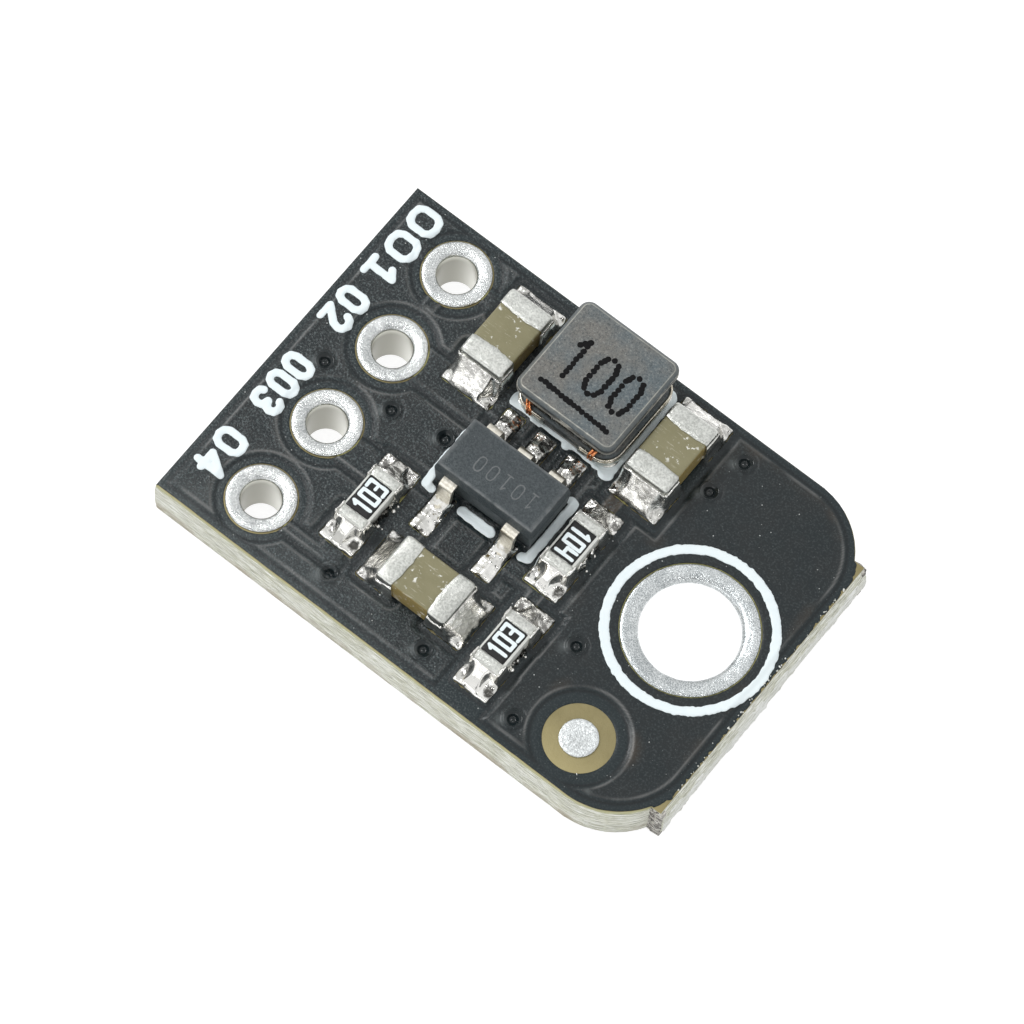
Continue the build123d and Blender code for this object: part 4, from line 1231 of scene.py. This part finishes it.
def make_wires():
    """Two pairs of wire ends that come out under the flange and down over the plating."""
    base = INDUCTOR_FOOT
    for i, (xa, xb) in enumerate(((-1.62, -1.45), (0.47, 0.42)), 1):
        for j, off in enumerate((-0.043, 0.043), 1):
            points = [(xa + off, 2.33, base + 0.52), (xa + off, 2.2, base + 0.47),
                      ((xa + xb) / 2 + off, 2.06, base + 0.42), (xb + off, 1.985, base + 0.36),
                      (xb + off, 1.975, base + 0.18)]
            tube(f"inductor_wire_{i}_{j}", points, 0.038, "wire", ["inductor_wire_ends"])


make_core()
make_resin()
make_stamp()
make_wires()


# Torn edges, copper film and crumbs

def make_edges():
    """The torn web along the snapped edge and the broken end of each nib."""
    section = [(7.258, 1.556), (7.285, 1.46), (7.315, 1.36), (7.345, 1.26), (7.375, 1.16), (7.392, 1.02),
               (7.396, 0.88), (7.396, 0.72), (7.39, 0.58), (7.372, 0.46), (7.345, 0.35), (7.31, 0.24),
               (7.28, 0.14), (7.258, 0.07)]
    px, pz = np.array(section).T
    middle = smooth(0.30, 0.55, pz) * smooth(1.30, 1.05, pz)
    rings = []
    for y in np.linspace(-4.025, 4.025, 300):
        tear = rough(y + 0 * pz, pz * 1.5, 0.24, 701, 4)
        x = np.maximum(px + middle * (0.08 * tear + 0.012), px + 0.003)
        x = x + 0.006 * np.abs(rough(y + 0 * pz, pz * 3, 0.1, 703, 2))
        x[[0, -1]] = px[[0, -1]]
        ring = np.column_stack([x, np.full(len(x), y), pz])
        rings.append(np.vstack([ring, [[7.15, y, 0.07], [7.15, y, 1.556]]]))
    give(loft("far_web", rings, "fibre"), "torn", 0.0)
    u, w = np.meshgrid(np.linspace(0, 1, 24), np.linspace(0, 1, 60), indexing="ij")
    x = 6.93 + 0.42 * u + 0.02 * rough(u * 2, w * 4, 0.3, 711)
    z = 0.075 + 1.45 * w
    corner = NIB - smooth(6.97, 6.93, x) * 0.05
    for i, sign in enumerate((-1, 1), 1):
        out = 0.6 + 0.4 * rough(x * 2, z * 1.4, 0.25, 713 + sign, 3)
        out = 0.012 + 0.045 * np.sin(math.pi * u) * out
        front = np.dstack([x, sign * (corner + out), z])
        back = np.dstack([x, np.full_like(x, sign * 3.9), z])
        give(grid_block(f"nib_break_{i}", front, back, "fibre", sign > 0), "torn", 1.0)


def make_copper():
    """The film of tracks and lands, open over each small via."""
    def film(x, y):
        d = drilled(copper_d(x, y) + 0.035, x, y, VIAS, 0.175)
        return drilled(drilled(d, x, y, HEADERS, 0.86), x, y, [MOUNT], 1.69)

    plate("copper_film", film, WHOLE, 0.09, PAD - 0.006, LAMINATE, "pad_edge", ["top_copper"])


def make_beads():
    """Loose beads of solder beside the resistors, and the lumps along their flanks."""
    beads = [(-2.49, -2.56, 0.055), (-2.37, -2.56, 0.03), (-2.44, -2.02, 0.06), (2.13, -0.30, 0.04),
             (2.03, 0.12, 0.055), (2.345, -2.96, 0.04), (2.30, -3.42, 0.06), (-2.43, -1.86, 0.04)]
    plate("solder_beads", lambda x, y: discs_d(x, y, beads), (-2.7, 2.6, -3.7, 0.6), 0.014,
          lambda x, y, d: MASK - 0.01 + 1.3 * np.sqrt(np.clip(-d * 0.1 - d * d, 0, 1)), MASK - 0.04, "solder")
    for i, ((px, py), _, (ox, _)) in enumerate(RESISTORS, 1):
        rng = np.random.default_rng(30 + i)
        lumps = [(px + ox + 0.435 + rng.normal(0, 0.015), py - 0.45 + 0.1 * k, rng.uniform(0.045, 0.085))
                 for k in range(10)]

        def top(x, y, d):
            return MASK + (0.22 + 0.14 * rough(x, y, 0.16, 795 + i, 2)) * domed(d, 0.06)

        obj, x, y, _ = plate(f"resistor_{i}_flank",
                             lambda x, y: discs_d(x, y, lumps) + 0.02 * rough(x, y, 0.1, 790 + i, 2),
                             (px + 0.25, px + 0.6, py - 0.6, py + 0.6), 0.016, top, MASK - 0.04, "solder")
        give(obj, "flux_and_painted_reflection", 0.95 * smooth(-0.05, 0.15, rough(x, y, 0.13, 799 + i, 2)))


def make_crumbs():
    """Crumbs of laminate along the snapped edge and across one corner."""
    rng = np.random.default_rng(19)
    crumbs = [(7.225 + rng.normal(0, 0.02), rng.uniform(-3.4, 3.4), rng.uniform(0.008, 0.022))
              for _ in range(46)]
    crumbs += [(5.10 + 0.07 * t, -4.5 - 0.1 * t, 0.013) for t in (0.0, 0.25, 0.5, 0.75, 1.0)]
    obj, *_ = plate("edge_crumbs", lambda x, y: discs_d(x, y, crumbs) + 0.012 * rough(x, y, 0.04, 801, 2),
                    (5.0, 7.32, -4.7, 3.6), 0.018, lambda x, y, d: MASK - 0.03 + 0.05 * domed(d, 0.02),
                    MASK - 0.06, "fibre")
    give(obj, "torn", 0.0)


make_edges()
make_copper()
make_beads()
make_crumbs()


# Looks of the other nodes that stay

for node_name, node_look in (("pcb_laminate", "laminate"), ("bottom_solder_mask", "mask"),
                             ("regulator_die", "silicon"), ("inductor_winding", "copper")):
    dress(node_name, node_look)
for node_name in ("inductor_terminal_1", "inductor_terminal_2"):
    dress(node_name, "cap", 0.02)


# Floor, light and camera

def make_floor():
    """A pale floor that keeps the object's shadow, near white where it is seen and clear from below."""
    reach, level = 2, -2e-5
    mesh = bpy.data.meshes.new("floor")
    corners = [(-reach, -reach, level), (reach, -reach, level), (reach, reach, level), (-reach, reach, level)]
    mesh.from_pydata(corners, [], [(0, 1, 2, 3)])
    floor = bpy.data.objects.new("floor", mesh)
    bpy.context.scene.collection.objects.link(floor)
    mat = bpy.data.materials.new("floor")
    mat.use_nodes = True
    tree = mat.node_tree
    tree.nodes.clear()
    ray = add(tree, "LightPath").outputs
    seen = add(tree, "Math", ray["Is Camera Ray"], ray["Is Glossy Ray"], operation="MAXIMUM")
    seen = add(tree, "Math", seen, ray["Is Transmission Ray"], operation="MAXIMUM")
    plain = add(tree, "BsdfDiffuse", (0.8, 0.8, 0.8))
    glow = add(tree, "Emission", None, 0.88)
    bright = add(tree, "AddShader", glow, add(tree, "BsdfDiffuse", (0.3, 0.3, 0.3)))
    above = add(tree, "MixShader", seen, plain, bright)
    below = add(tree, "NewGeometry").outputs["Backfacing"]
    add(tree, "OutputMaterial", add(tree, "MixShader", below, above, add(tree, "BsdfTransparent")))
    mesh.materials.append(mat)


def make_studio():
    """Soft light from all round, a little weaker from the sides, with one dark screen overhead."""
    world = bpy.data.worlds.new("studio")
    bpy.context.scene.world = world
    world.use_nodes = True
    tree = world.node_tree
    where = add(tree, "TexCoord").outputs["Generated"]
    height = add(tree, "SeparateXYZ", where).outputs["Z"]
    stops = ((0.0, 0.90), (0.25, 0.88), (0.45, 0.78), (0.70, 0.80), (0.90, 0.92), (1.0, 0.95))
    room = ramp(tree, height, [(place, (v, v * 1.005, v * 1.01)) for place, v in stops])
    near = add(tree, "VectorMath", where, (0.193, -0.315, 0.929), operation="DOT_PRODUCT").outputs["Value"]
    screen = ramp(tree, near, [(0.93, 1.0), (0.975, 0.16)])
    plug(tree, tree.nodes["Background"].inputs[0], mixed(tree, 1.0, room, screen, "MULTIPLY"))


def lamp(name, place, size, power):
    data = bpy.data.lights.new(name, "AREA")
    data.shape = "RECTANGLE"
    data.size, data.size_y = size[0] * MM, size[1] * MM
    data.energy = power
    obj = bpy.data.objects.new(name, data)
    bpy.context.scene.collection.objects.link(obj)
    obj.location = Vector(place) * MM
    obj.rotation_euler = (-Vector(place)).to_track_quat("-Z", "Y").to_euler()


make_floor()
make_studio()
lamp("key", (-106, -8, 133), (50, 50), 0.10)
lamp("small_left", (13.2, -68.9, 157), (7, 14), 0.008)
lamp("small_right", (52.4, -38.1, 159), (7, 14), 0.008)
lamp("front", (-40, -170, 80), (130, 50), 0.03)

camera = bpy.data.cameras.new("camera")
camera.sensor_width = 36
camera.lens = 219.34
camera.clip_start, camera.clip_end = 0.01, 10
eye = bpy.data.objects.new("camera", camera)
bpy.context.scene.collection.objects.link(eye)
right, down = (0.785645, 0.616960, 0.046059), (0.587851, -0.721221, -0.366431)
ahead = (-0.192854, 0.314960, -0.929305)
turn = Matrix((right, [-v for v in down], [-v for v in ahead])).transposed()
eye.matrix_world = Matrix.Translation(Vector((28.856, -47.707, 141.717)) * MM) @ turn.to_4x4()
bpy.context.scene.camera = eye
bpy.context.scene.view_settings.view_transform = "Standard"
